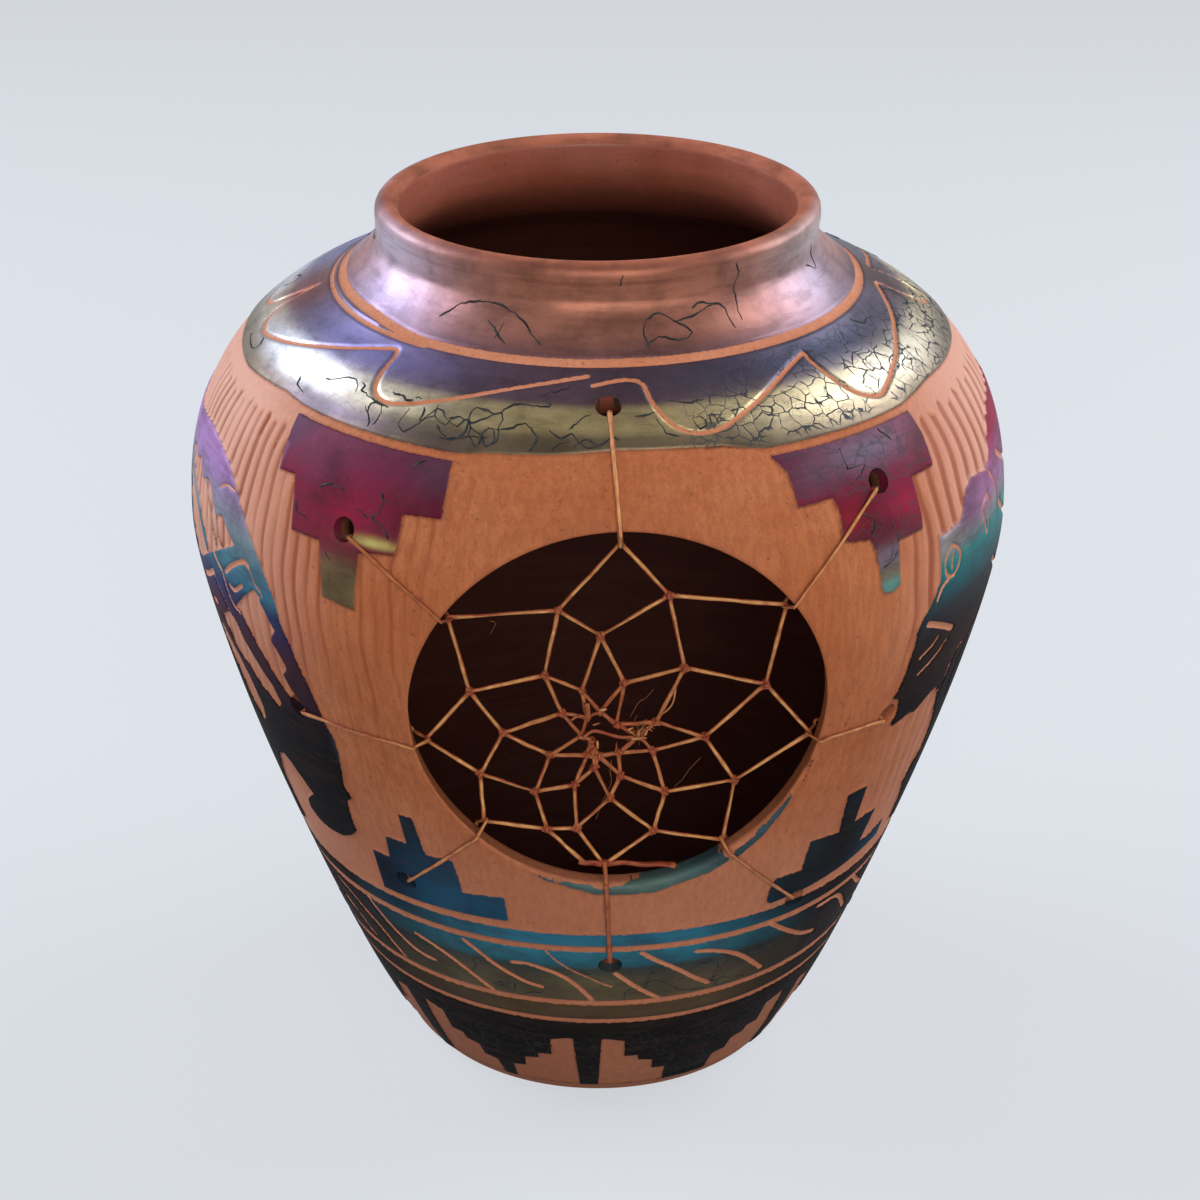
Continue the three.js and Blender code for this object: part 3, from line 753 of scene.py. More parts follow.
wall_look, tree, where = new_look("carved_horsehair_clay")
tint = add(tree, "Attribute", attribute_name="tint").outputs
paint, carve, scorch, gouged = [stored(tree, title) for title in ("paint", "carve", "scorch", "gouge")]
rough_edge = times(tree, maths(tree, "SUBTRACT", grain(tree, where, 900, 3), 0.5), 0.7)
painted = ramp(tree, plus(tree, paint, rough_edge), -0.08, 0.10)
carved = ramp(tree, plus(tree, carve, times(tree, rough_edge, 0.6)), -0.06, 0.10)
bare = bare_clay(tree, where, (174, 100, 62), (188, 118, 80), 0.9)
fresh = bare_clay(tree, where, (190, 120, 88), (204, 138, 106), 0.3)
hair_web = add(tree, "Group", {"Where": where, "Width": 0.046, "Cells": 320.0}, node_tree=scorch_group)
scorched = times(tree, hair_web.outputs["Mask"], scorch)
mottle = grain(tree, where, 75, 5, 0.62)
speckle = grain(tree, where, 1300, 3, 0.7)
burnish = grain(tree, where, 620, 5, 0.7, stretch=(0.14, 0.14, 1))
# The tint and its painted highlights are mottled, streaked by the burnishing, flecked with metal and scorched
spray_and_highlights = mixed(tree, ramp(tree, mottle, 0.40, 0.70, 0.0, 0.42), tint["Color"], (0.008, 0.006, 0.006, 1))
spray_and_highlights = mixed(tree, ramp(tree, burnish, 0.46, 0.66, 0.0, 0.3), spray_and_highlights, (0.05, 0.026, 0.024, 1))
flecks = times(tree, ramp(tree, speckle, 0.60, 0.78, 0.0, 0.4), tint["Alpha"])
spray_and_highlights = mixed(tree, flecks, spray_and_highlights, (0.36, 0.30, 0.26, 1))
spray_and_highlights = mixed(tree, scorched, spray_and_highlights, (0.045, 0.045, 0.052, 1))
# The bare clay is paler at the pot's sides, a painted sheen, and paler towards the bottom.
# Painted shade darkens it in the gouge's valleys, in the lacing holes and towards the foot
place = add(tree, "SeparateXYZ", {0: where}).outputs
sideways = maths(tree, "ABSOLUTE", place["X"])
painted_sheen_and_pale_low = times(tree, ramp(tree, sideways, 0.052, 0.084, 0.0, 0.62), ramp(tree, place["Z"], 0.095, 0.155))
painted_sheen_and_pale_low = plus(tree, painted_sheen_and_pale_low, ramp(tree, place["Z"], 0.064, 0.100, 0.16, 0.0))
worked = mixed(tree, painted_sheen_and_pale_low, bare["Color"], shown(222, 168, 148))
# Painted shade: the gouge's valleys are darkened towards a deep brown
worked = mixed(tree, ramp(tree, gouged, 0.08, 0.40, 0.0, 0.8), worked, shown(138, 68, 42))
# Painted shade: the stored burn marks also darken the bare clay in the lacing holes and towards the foot
worked = mixed(tree, times(tree, scorch, 0.9), worked, (0.030, 0.011, 0.008, 1))
# Both meet in a brown edge, and a carved line shows fresh clay
colour = mixed(tree, painted, worked, spray_and_highlights)
edge_band = times(tree, ramp(tree, paint, -0.6, -0.1), ramp(tree, paint, -0.05, 0.2, 1, 0), 0.28)
colour = mixed(tree, edge_band, colour, (0.16, 0.05, 0.025, 1))
colour = mixed(tree, carved, colour, fresh["Color"])
glossy = times(tree, painted, left_of(tree, carved))
matt = left_of(tree, glossy)
lustre = times(tree, tint["Alpha"], glossy)
smear = times(tree, plus(tree, grain(tree, where, 240, 4, 0.6), burnish), 0.13)
spray_relief = times(tree, plus(tree, speckle, mottle, times(tree, burnish, 2.4)), glossy, 0.18)
height = plus(tree, times(tree, bare["Height"], matt), spray_relief, times(tree, painted, 0.9),
              times(tree, scorched, -0.25))
bump = add(tree, "Bump", {"Height": height, "Strength": 0.55, "Distance": 0.00016})
show(tree, {
    "Base Color": colour,
    "Roughness": plus(tree, ramp(tree, lustre, 0.05, 0.45, 0.58, 0.24), smear),
    "Metallic": times(tree, lustre, left_of(tree, times(tree, scorched, 0.85))),
    "Coat Weight": times(tree, matt, ramp(tree, sideways, 0.045, 0.085, 0.12, 0.7)),
    "Normal": bump.outputs[0], "Specular IOR Level": 0.03, "Coat Roughness": 0.5,
})

inside_look, tree, where = new_look("inside_clay_painted_shade")
turned = grain(tree, where, 420, 4, 0.6, stretch=(0.12, 0.12, 1))
# The inside's clay is darker than the outside's
darker_inner_clay = bare_clay(tree, where, (140, 74, 56), (160, 92, 76), 0.3)
height_up = add(tree, "SeparateXYZ", {0: where}).outputs["Z"]
# Painted shade: the inside darkens to near black deeper below the lip
depth_shade = ramp(tree, height_up, 0.150, 0.197, 0.86, 0.0)
colour = mixed(tree, depth_shade, darker_inner_clay["Color"], (0.020, 0.006, 0.006, 1))
colour = mixed(tree, ramp(tree, turned, 0.45, 0.65, 0.0, 0.18), colour, (0.10, 0.04, 0.03, 1))
bump = add(tree, "Bump", {"Height": plus(tree, turned, darker_inner_clay["Height"]), "Strength": 0.5, "Distance": 0.0002})
show(tree, {"Base Color": colour, "Roughness": 0.62, "Normal": bump.outputs[0], "Specular IOR Level": 0.05,
            "Coat Weight": ramp(tree, height_up, 0.186, 0.196, 0.0, 0.5), "Coat Roughness": 0.35})


# The vessel's rings. The wall is shown as closed rings that meet in carved grooves or in bare clay, so that
# each is fine enough to hold its carving: neck with lip, shoulder, belly in three parts, band, foot.
longest_spin = 12  # degrees
weld = 4e-6  # metres between points that are one


def close_openings(part):
    """Fills each open border of a part with a face."""
    bmesh.ops.edgeloop_fill(part, edges=[e for e in part.edges if len(e.link_faces) == 1])
    bmesh.ops.recalc_face_normals(part, faces=part.faces[:])


def turned_ring(section, columns, closed=True, start=0.0):
    """Turns a section in mm into a ring or a part of one, from a start in degrees round from the back. The
    columns are its spans in degrees, each with its step. It is spun a short stretch at a time, because a
    spin slows as it grows."""
    ring, holder, at = bmesh.new(), bpy.data.meshes.new("stretch"), start
    for span, step in columns:
        laps = max(1, round(span / longest_spin))
        for _ in range(laps):
            part = bmesh.new()
            a = math.radians(at)
            verts = [part.verts.new((-r * math.sin(a) * mm, r * math.cos(a) * mm, z * mm))
                     for r, z in section]
            edges = [part.edges.new(pair) for pair in zip(verts, verts[1:])]
            if closed:
                edges.append(part.edges.new((verts[-1], verts[0])))
            bmesh.ops.spin(part, geom=verts + edges, cent=(0, 0, 0), axis=(0, 0, 1), use_merge=False,
                           angle=math.radians(span / laps), steps=max(1, round(span / laps / step)))
            part.to_mesh(holder)
            part.free()
            ring.from_mesh(holder)
            at += span / laps
    bpy.data.meshes.remove(holder)
    bmesh.ops.remove_doubles(ring, verts=ring.verts[:], dist=weld)
    close_openings(ring)
    return ring


def drilled(piece, cutters):
    """Cuts the lacing holes through a piece."""
    tool = bmesh.new()
    for x, y, z, out in cutters:
        turn = Vector((0, 0, 1)).rotation_difference(Vector(out)).to_matrix().to_4x4()
        bmesh.ops.create_cone(
            tool, cap_ends=True, segments=28, radius1=hole_radius * mm, radius2=hole_radius * mm,
            depth=4 * wall_thickness * mm, matrix=Matrix.Translation((x * mm, y * mm, z * mm)) @ turn)
    tool_mesh = mesh_of("drills", tool)
    holder = placed("drills", tool_mesh)
    cut = piece.modifiers.new("holes", "BOOLEAN")
    cut.object, cut.operation, cut.solver = holder, "DIFFERENCE", "MANIFOLD"
    graph = bpy.context.evaluated_depsgraph_get()
    result = bpy.data.meshes.new_from_object(piece.evaluated_get(graph))
    piece.modifiers.clear()
    piece.data = result
    bpy.data.objects.remove(holder)
    bpy.data.meshes.remove(tool_mesh)


def points_of(mesh):
    """The places of a mesh's points, in mm."""
    co = np.empty(len(mesh.vertices) * 3, np.float32)
    mesh.vertices.foreach_get("co", co)
    return co.reshape(-1, 3).astype(float) / mm


def move_points(mesh, co):
    """Puts a mesh's points at new places, in mm."""
    mesh.vertices.foreach_set("co", (co * mm).astype(np.float32).ravel())


def store(mesh, **values):
    """Keeps one number for each point of a mesh, under each title."""
    for title, numbers in values.items():
        kept = mesh.attributes.new(title, "FLOAT", "POINT")
        kept.data.foreach_set("value", np.asarray(numbers, np.float32))


def scorch_amount(turn, z):
    """Where the hair left its broken web: thick on the right of the gold band, thin elsewhere."""
    half = fold(turn)
    gold = np.clip(z - 170.5, 0, 1) * np.clip((183 - z) / 3, 0, 1)
    gold *= 0.15 + 0.85 * soft_step((half - 6) / 12)
    right_steps = 0.55 * (z > 145) * (z < 169) * soft_step((half - 18) / 8) * (half < 52)
    left_steps = 0.12 * (z > 137) * (z < 169) * (half < -20)
    band = 0.25 * (z > 36) * (z < 48)
    return np.max([gold, right_steps, left_steps, band], axis=0) * soft_step((z - 34) / 2)


window_border = 3.5  # mm beyond the window's edge within which a cut face is the window's own
skin_deep = 0.25  # mm under the outer face that still count as the face
lip_foot = 190  # above it the glaze goes on over the lip and into the mouth


def finished_wall(name, ring, cutters=()):
    """Drills a ring, lowers its carved places, stores the design on it and hands it over."""
    piece = placed(name, mesh_of(name, ring))
    if cutters:
        drilled(piece, cutters)
    mesh = piece.data
    mesh.name = name
    x, y, z = points_of(mesh).T
    turn, r = np.degrees(np.arctan2(x, -y)), np.hypot(x, y)
    under = radius_at(z) - r
    outer = np.clip(1 - under / half_wall, 0, 1) * (z > foot_chamfer - 0.01)
    paint, carve = design(turn, z)
    sink = relief(turn, z, paint, carve) * outer
    across, up = out_at(z)
    lowered = r - sink * across
    way = np.radians(turn)
    co = np.stack([lowered * np.sin(way), -lowered * np.cos(way), z - sink * up], -1)
    co[r < 0.01] = np.stack([x, y, z], -1)[r < 0.01]  # the floor's middle has no turn
    move_points(mesh, co)

    # Every cut face is bare, but on the window's rubbed edge the spray is left in a ragged crescent
    near_window = (np.hypot(x, z - window_height) < window_radius + window_border) & (y < 0)
    ragged = np.sin(turn * 4.3 + z * 1.7) * np.sin(z * 2.9 - turn * 1.3)
    spread = soft_step((turn + 1) / 7 + 0.2 * ragged) * soft_step((19 - turn) / 2)
    spray_reach = np.where(near_window, 0.5 + 5 * spread, skin_deep)
    rubbed_off = near_window & (z < window_height) & (np.abs(paint) < far)
    paint = np.where(rubbed_off, paint - 0.22 - 0.5 * ragged, paint)
    cut_face = (under > spray_reach) & (z < lip_foot)
    paint, carve = np.where(cut_face, -far, paint), np.where(cut_face, -far, carve)

    # Painted shade: the lacing holes are darkened inside their bores, and the foot darker towards the bottom
    in_hole = (under > skin_deep) & ~near_window & (z > 20) & (z < lip_foot)
    painted_hole_and_foot_shade = np.where(in_hole, soft_step((under + 0.2) / 1.0), 0)
    painted_hole_and_foot_shade = np.maximum(painted_hole_and_foot_shade, 0.26 * soft_step((32 - z) / 14) * (under < 2.4))
    # The hair's burn marks, with the painted shade of the holes and the foot added to them
    scorch = np.where(paint > -0.3, scorch_amount(turn, z), 0) + painted_hole_and_foot_shade
    store(mesh, paint=paint, carve=carve, scorch=scorch, gouge=gouge_ribs(turn, z) * (under < skin_deep))
    tone = spray_with_painted_light(turn, z)
    wiped = (soft_step((under - 1.7) / 0.8) * (z > 194))[:, None]  # bare clay on the lip's inner side
    tone = (tone + ((*linear((164, 98, 76)), 0) - tone) * wiped).astype(np.float32)
    mesh.attributes.new("tint", "FLOAT_COLOR", "POINT").data.foreach_set("color", tone.ravel())
    mesh.materials.clear()
    mesh.materials.append(wall_look)
    mesh.materials.append(inside_look)
    centres = np.empty(len(mesh.polygons) * 3, np.float32)
    mesh.polygons.foreach_get("center", centres)
    centres = centres.reshape(-1, 3) / mm
    depth = radius_at(centres[:, 2]) - np.hypot(centres[:, 0], centres[:, 1])
    inner = (depth > wall_thickness * 0.97) & (centres[:, 2] > floor_thickness - 1)
    mesh.polygons.foreach_set("material_index", inner.astype(np.int32))
    mesh.shade_smooth()
    mesh.set_sharp_from_angle(angle=math.radians(48))
    mesh.update()
    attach(piece, "root")
    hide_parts("vessel")


def ring_section(low, high, row, inner_row=5.0):
    """The closed section of a ring of wall between two heights of its outer face."""
    low, high = run_at(low), run_at(high)
    outer = np.linspace(low, high, max(2, round((high - low) / row)) + 1)
    inner = np.linspace(high, low, max(2, round((high - low) / inner_row)) + 1)
    return skin(outer) + skin(inner, wall_thickness)


# The lacing holes, drilled square to the wall: bearing clockwise from the window's top, distance of the
# hole's middle outside the window's edge, and the knot of the web that its loop holds
lacing = {
    "top": (358.6, 19, 4), "upper_right": (50, 26, 5), "right": (100.5, 15.9, 6),
    "lower_right": (145.4, 27.6, 7), "bottom": (180.8, 25.6, 8), "lower_left": (221.2, 25, 1),
    "left": (261.9, 23.9, 2), "upper_left": (304.5, 23, 3),
}


def from_window(bearing, reach):
    """The place across and up, seen from the front, at a bearing and a distance from the window's middle."""
    turn = math.radians(bearing)
    return reach * math.sin(turn), window_height + reach * math.cos(turn)


def on_wall(x, z):
    """The outer face's point behind a place seen from the front, and the face's normal there."""
    r = float(radius_at(z))
    across, up = map(float, out_at(z))
    y = -math.sqrt(r * r - x * x)
    return Vector((x, y, z)), Vector((across * x / r, across * y / r, up)).normalized()


def drills(low, high):
    """The lacing holes between two heights: each one's place and direction."""
    found = []
    for bearing, margin, _ in lacing.values():
        point, out = on_wall(*from_window(bearing, window_radius + margin))
        if low < point.z < high:
            found.append((*point, out))
    return found


# Neck and lip. An upright collar with a round lip, the top of the one thrown wall. It is wiped thin of glaze
# along its top and inside, and it ends in the carved ring at its foot.
split_neck, split_shoulder, split_band, split_foot = 183.1, 165.0, 53.8, 29.0
lip = [(neck_radius - half_wall + half_wall * math.cos(a), pot_height - half_wall + half_wall * math.sin(a))
       for a in np.linspace(0, math.pi, 12)[1:-1]]
neck_outer = skin(np.linspace(run_at(split_neck), wall_run[-1], 44))
neck_inner = skin(np.linspace(wall_run[-1], run_at(split_neck), 16), wall_thickness)
finished_wall("neck_and_lip", turned_ring(neck_outer + lip + neck_inner, [(360, 0.43)]))

# Shoulder. The lustred slope of the wall between the carved ring and the bare belly. A zigzag line is cut
# through its glaze, and a gold band runs along its edge.
finished_wall("shoulder", turned_ring(ring_section(split_shoulder, split_neck, 0.4), [(360, 0.345)]),
              drills(split_shoulder, split_neck))

# Belly: the wide middle of the wall, in an upper and a lower front part and a back part. The window is cut
# straight back through its front with a knife, and its edge is rubbed round, most of all at the lower right.
inner_round = 0.5
belly_rows, belly_columns = 0.4, [(73, 0.33), (34, 0.8), (73, 0.33)]
belly = turned_ring(ring_section(split_band, split_shoulder, belly_rows, 6.0), belly_columns, start=90)
inner_line = np.array(skin(wall_run, wall_thickness))


def edge_round(bearing):
    """How wide the window's edge is rubbed round, in mm, at a bearing in degrees."""
    return 0.9 + 1.3 * math.exp(-(((bearing % 360) - 160) / 38) ** 2)


def window_depth(x, z, depth):
    """Where the outer face, or the inner one, lies at a place seen from the front, along Y."""
    r = radius_at(z) if depth < half_wall else np.interp(z, inner_line[:, 1], inner_line[:, 0])
    return -math.sqrt(float(r) ** 2 - x * x)


def bearing_of(place):
    return math.degrees(math.atan2(place.x, place.z - window_height * mm))


def window_loop(ring, depth, border_out):
    """Cuts one face of the wall back to the window, and rounds the gap's edge to a true circle."""
    doomed = []
    for face in ring.faces:
        c = face.calc_center_median()
        reach = (window_radius + border_out(bearing_of(c))) * mm
        inside = c.y < 0 and math.hypot(c.x, c.z - window_height * mm) < reach
        if inside and (radius_at(c.z / mm) - math.hypot(c.x, c.y) / mm > half_wall) == (depth > half_wall):
            doomed.append(face)
    border = {e for f in doomed for e in f.edges}
    doomed_set = set(doomed)
    border = [e for e in border if any(f not in doomed_set for f in e.link_faces)]
    bmesh.ops.delete(ring, geom=doomed, context="FACES")
    border = [e for e in border if e.is_valid]
    for v in {v for e in border for v in e.verts}:
        x, z = from_window(bearing_of(v.co), window_radius + border_out(bearing_of(v.co)))
        v.co = (x * mm, window_depth(x, z, depth) * mm, z * mm)
    return border


rim = window_loop(belly, 0, edge_round)
inner_edge = window_loop(belly, wall_thickness, lambda bearing: inner_round)
for turned, share in [(22, 0), (45, 0), (68, 0), (90, 0), (90, 0.25), (90, 0.5), (90, 0.75), (90, 1)]:
    made = bmesh.ops.extrude_edge_only(belly, edges=rim)["geom"]
    rim = [g for g in made if isinstance(g, bmesh.types.BMEdge)]
    for v in {v for e in rim for v in e.verts}:
        wide = edge_round(bearing_of(v.co))
        x, z = from_window(bearing_of(v.co), window_radius + wide * (1 - math.sin(math.radians(turned))))
        front = window_depth(x, z, 0) + wide * (1 - math.cos(math.radians(turned)))
        back = window_depth(x, z, wall_thickness) - inner_round
        v.co = (x * mm, (front + (back - front) * share) * mm, z * mm)
bmesh.ops.bridge_loops(belly, edges=rim + inner_edge)
bmesh.ops.recalc_face_normals(belly, faces=belly.faces[:])
# The front parts in two along a row of the mesh, a little above the window's middle
belly_split = float(skin(np.arange(run_at(split_band), run_at(window_height + 5), belly_rows))[-1][1])
for name, upper in (("belly_upper", True), ("belly_lower", False)):
    part = belly.copy()
    bmesh.ops.bisect_plane(part, geom=part.verts[:] + part.edges[:] + part.faces[:], dist=2e-6,
                           plane_co=(0, 0, belly_split * mm), plane_no=(0, 0, 1),
                           clear_inner=upper, clear_outer=not upper)
    close_openings(part)
    low, high = (belly_split, split_shoulder) if upper else (split_band, belly_split)
    finished_wall(name, part, drills(low, high))
belly.free()
belly_back = turned_ring(ring_section(split_band, split_shoulder, 0.65, 6.0), [(180, 0.5)], start=270)
finished_wall("belly_back", belly_back)

# Band. The dark ring of the wall under the belly, between carved rings. Slanting strokes are cut through its
# spray, and the lowest lacing hole is drilled through it.
finished_wall("stroke_band", turned_ring(ring_section(split_foot, split_band, 0.45), [(360, 0.42)]),
              drills(split_foot, split_band))

# Foot. The lowest part of the wall, with bare stepped hills cut through its dark spray, the flat underside
# that the pot stands on, and the pot's inner floor.
floor_turn = [(0, 9.6), (0.7, 8.6), (2.0, 7.6), (4.5, floor_thickness)]  # inwards from the wall, and height
foot_outer = skin(np.linspace(0, run_at(split_foot), 54))
foot_inner = skin(np.linspace(run_at(split_foot), 0, 24), wall_thickness)
foot_inner = [point for point in foot_inner if point[1] > floor_turn[0][1]]
corner = foot_inner[-1][0]
floor_line = [(corner - away, z) for away, z in floor_turn[1:]]
floor_line += [(r, floor_thickness) for r in np.linspace(corner - 8, 0, 8)]
underside = [(r, 0) for r in np.linspace(0, foot_radius - foot_chamfer, 9)]
foot_section = underside + foot_outer + foot_inner + floor_line
finished_wall("foot", turned_ring(foot_section, [(360, 0.6)], closed=False))

# Horsehair marks. Hair laid on the hot glaze burns to carbon and leaves black wandering lines, a hair or a
# few hairs wide. Each is a fine thread sunk in the surface so that only its back shows.
hair_lines = [
    [(-41.5, 186.9), (-37.3, 189.1), (-31.2, 190.3), (-24.6, 189.7), (-19.9, 188.1), (-15.2, 185.2)],
    [(-29.3, 187.8), (-26.3, 186.1), (-23.1, 184.8)], [(-25.9, 185.4), (-25, 187.9)],
    [(3.7, 199.2), (2.4, 197.1), (2.2, 195.6)],
    [(31.3, 199.6), (33.4, 196.1), (32, 193), (31.9, 190.1), (31.2, 186.8)],
    [(8.1, 189), (11.1, 189.5), (14.5, 188.1), (17.9, 186.1), (14.6, 184.9), (11, 186), (7.2, 185.1)],
    [(14.5, 188.1), (20.9, 189.2), (25.3, 190.1), (28, 188.9), (28.7, 185.9)],
    [(8.1, 189), (6.7, 186.9), (7.9, 184.8)], [(25.3, 190.1), (23.2, 190.8), (19.7, 190.1)],
    [(-36.3, 176.5), (-34.9, 175.5), (-35, 173.6), (-33.6, 172.5), (-32.1, 173.9), (-30.7, 175.6),
     (-29.8, 175.7), (-27.4, 174.2), (-25.7, 173.8), (-24.8, 174.8), (-23.8, 175.1)],
    [(-23.3, 174), (-21.1, 173.1), (-19.6, 172), (-18.5, 172.8), (-19.2, 174.1), (-20.7, 173.7),
     (-21, 171.8)],
    [(-19.3, 174.3), (-17.1, 174.6), (-15.5, 175.6), (-13.5, 174.9), (-12.6, 173.5), (-13.3, 171.6)],
    [(-10.8, 174.9), (-8.8, 173.9), (-6.8, 174.6), (-5.8, 173.5), (-3.6, 172.8), (-0.9, 174)],
    [(-9.8, 172), (-9.3, 172.7), (-7.3, 173.3)], [(-42.4, 174), (-40.5, 172.7), (-39.9, 171.2)],
    [(-27.2, 174.8), (-25.2, 175.2), (-22, 175.3), (-18.2, 177.5), (-15.7, 178.2), (-11.4, 177.6),
     (-11.9, 178.9)], [(-59.5, 173.9), (-58.3, 172.8), (-56, 172.3)],
    [(-13.8, 178.8), (-9.9, 179.7), (-7.8, 180.2)], [(3.1, 176.5), (4.8, 176.7), (7.1, 177)],
    [(-4.2, 181.3), (-3.5, 180), (-4.4, 179)],
    [(-6.9, 172.4), (-5.2, 173.5), (-3.3, 172.8), (-0.9, 174), (0.3, 173.5)],
    [(-7.7, 175), (-5.6, 176.5), (-4.3, 176.9)], [(14.4, 174), (15.5, 176), (16.2, 174.6)],
    [(12.1, 175.8), (12.6, 174.4), (14.3, 174.8), (13.6, 175.9), (12.1, 175.8)],
    [(6.3, 176.2), (7.3, 174.3), (9.5, 173.6)], [(8.9, 178.2), (13, 177.9), (15.1, 177.9)],
    [(0.5, 45.1), (1.9, 45.5), (3.6, 42.4), (2.6, 39.1), (2.2, 36.5)],
    [(3.2, 40), (5.9, 40.6), (7.4, 42.8), (9.7, 41.4), (12.6, 38.2), (16, 37.2), (20.1, 36.7), (21.6, 37.1),
     (22.8, 39.1), (25.9, 38.2), (28.4, 37.4)], [(5.6, 41.2), (7.7, 45.9)], [(6.5, 36.4), (7, 37), (8, 38.3)],
    [(-19.5, 36.6), (-16.4, 37.9), (-14.3, 38.3)], [(-24.5, 38.9), (-23.4, 38.3), (-20.1, 40.3), (-20, 36.9)],
    [(-27.9, 46.6), (-27.7, 43.8), (-29.1, 40.4)], [(-6.7, 40.3), (-5.7, 38.4), (-6.5, 36.5)],
    [(-47.4, 156), (-46.8, 154), (-44.6, 153.2)], [(-43.6, 159.5), (-41.8, 160.8), (-39.4, 160.2)],
    [(-36.8, 157.8), (-34.8, 156.9)],
    [(-33.8, 161.9), (-33, 160), (-33.5, 157.6), (-34.7, 156.9), (-32.6, 155.7), (-31.1, 153.9)],
    [(-29.9, 166.8), (-29, 168), (-28.2, 168.5)], [(-40.9, 148.5), (-39.7, 147)],
    [(33.9, 167.7), (33.9, 164.3), (36.9, 164.1), (34.6, 161.9)], [(42, 168.7), (43.8, 166)],
    [(39.1, 152.7), (40, 148.3), (38.9, 145.5), (36.6, 144)], [(34.5, 156.1), (36.3, 153.9), (35.1, 151.2)],
]
hair_half_width = 0.29


def thread(name, routes, half_width, closed=False, sides=3, flatness=1.0):
    """A mesh thread along routes in mm. Each row of a route holds a place and, for a flat thread, the way its
    broad side faces there; with each route go its shares of the width and its twist in radians."""
    curve = bpy.data.curves.new(name, "CURVE")
    curve.dimensions, curve.twist_mode = "3D", "MINIMUM"
    curve.bevel_depth, curve.bevel_resolution = half_width * mm, sides
    for line, widths, _ in routes:
        spline = curve.splines.new("POLY")
        spline.points.add(len(line) - 1)
        spline.points.foreach_set("co", np.column_stack([line[:, :3] * mm, np.ones(len(line))]).ravel())
        spline.points.foreach_set("radius", np.asarray(widths, float))
        spline.use_cyclic_u = closed
    holder = placed(name + "_curve", curve)
    mesh = bpy.data.meshes.new_from_object(holder.evaluated_get(bpy.context.evaluated_depsgraph_get()))
    mesh.name = name
    bpy.data.objects.remove(holder)
    if flatness < 1:
        co, around = points_of(mesh), 2 * sides + 4
        ways, places, steps = [], [], []
        for line, _, twist in routes:
            run = np.gradient(line[:, :3], axis=0)
            run /= np.linalg.norm(run, axis=1)[:, None]
            way = line[:, 3:] - run * (line[:, 3:] * run).sum(1)[:, None]
            way /= np.maximum(np.linalg.norm(way, axis=1)[:, None], 1e-6)
            ways.append(way * np.cos(twist)[:, None] + np.cross(run, way) * np.sin(twist)[:, None])
            places.append(line[:, :3])
            steps.append(np.arange(len(line)))
        way = np.repeat(np.concatenate(ways), around, axis=0)
        spread = co - np.repeat(np.concatenate(places), around, axis=0)
        deep = (spread * way).sum(1)
        co -= way * (deep * (1 - flatness))[:, None]
        move_points(mesh, co)
        size = np.maximum(np.linalg.norm(spread, axis=1), 1e-6)
        edge = np.sqrt(np.clip(1 - (deep / size) ** 2, 0, 1))
        along = np.repeat(np.concatenate(steps), around) * 0.8
        store(mesh, edge=edge, along=along)
    bm = bmesh.new()
    bm.from_mesh(mesh)
    close_openings(bm)
    bm.to_mesh(mesh)
    bm.free()
    mesh.shade_smooth()
    return placed(name, mesh)


hair_rng = np.random.default_rng(11)


def wandering(points, amount=0.25):
    """A hair's route on the wall: the soft curve through its points, with small kinks."""
    line = smooth_line(points, 0.5)
    kinks = np.cumsum(hair_rng.normal(0, amount, (len(line), 2)), axis=0)
    kinks -= np.linspace(0, 1, len(line))[:, None] * kinks[-1]
    line[:, 0] += kinks[:, 0] * 0.5
    line[:, 1] += kinks[:, 1] * 0.35
    return line


def random_hairs(count, turns, heights):
    """Loose hairs of a few centimetres over part of the wall, in the way of those seen at the front."""
    found = []
    for _ in range(count):
        turn, z = hair_rng.uniform(*turns), hair_rng.uniform(*heights)
        heading, line = hair_rng.uniform(0, 2 * math.pi), []
        for _ in range(hair_rng.integers(4, 9)):
            line.append((turn, z))
            heading += hair_rng.normal(0, 0.9)
            turn += 2.4 * math.cos(heading)
            z = float(np.clip(z + 1.5 * math.sin(heading), *heights))
        found.append(line)
    return found


hair_lines += random_hairs(16, (60, 300), (172, 182)) + random_hairs(9, (55, 305), (184.8, 196))
hair_lines += random_hairs(12, (60, 300), (37.5, 51)) + random_hairs(10, (-48, -16), (171.5, 176.5))
hair_lines += random_hairs(7, (-32, 34), (37, 47))
lip_start = 198  # above it the wall rounds over into the lip


def left_on_spray(line):
    """The stretches of a hair's route that lie on the spray: what crossed a cut went with the cut clay."""
    paint, carve = design((line[:, 0] + 180) % 360 - 180, line[:, 1])
    kept = np.flatnonzero((paint > 0.2) & (carve < -0.2) & (line[:, 1] < lip_start))
    return [line[run] for run in np.split(kept, np.flatnonzero(np.diff(kept) > 1) + 1) if len(run) > 3]


routes = []
for points in hair_lines:
    line, phase = wandering(points), hair_rng.uniform(0, 6)
    for line in left_on_spray(line):
        sunk = relief(line[:, 0], line[:, 1], np.full(len(line), far), np.full(len(line), -far))
        width = 0.85 + 0.3 * np.sin(np.arange(len(line)) * 0.5 + phase)
        width[[0, -1]] = 0.35
        lift = -sunk - hair_half_width * 0.45 * width
        routes.append((place_on_wall(line[:, 0], line[:, 1], lift), width, None))
hairs = thread("horsehair_marks", routes, hair_half_width, sides=0)
carbon, tree, where = new_look("burnt_hair_carbon")
tone = mixed(tree, ramp(tree, grain(tree, where, 600), 0.4, 0.65), (0.011, 0.014, 0.016, 1),
             (0.040, 0.040, 0.038, 1))
show(tree, {"Base Color": tone, "Roughness": ramp(tree, grain(tree, where, 900), 0.3, 0.7, 0.5, 0.7),
            "Specular IOR Level": 0.12})
hairs.data.materials.append(carbon)
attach(hairs, "root")
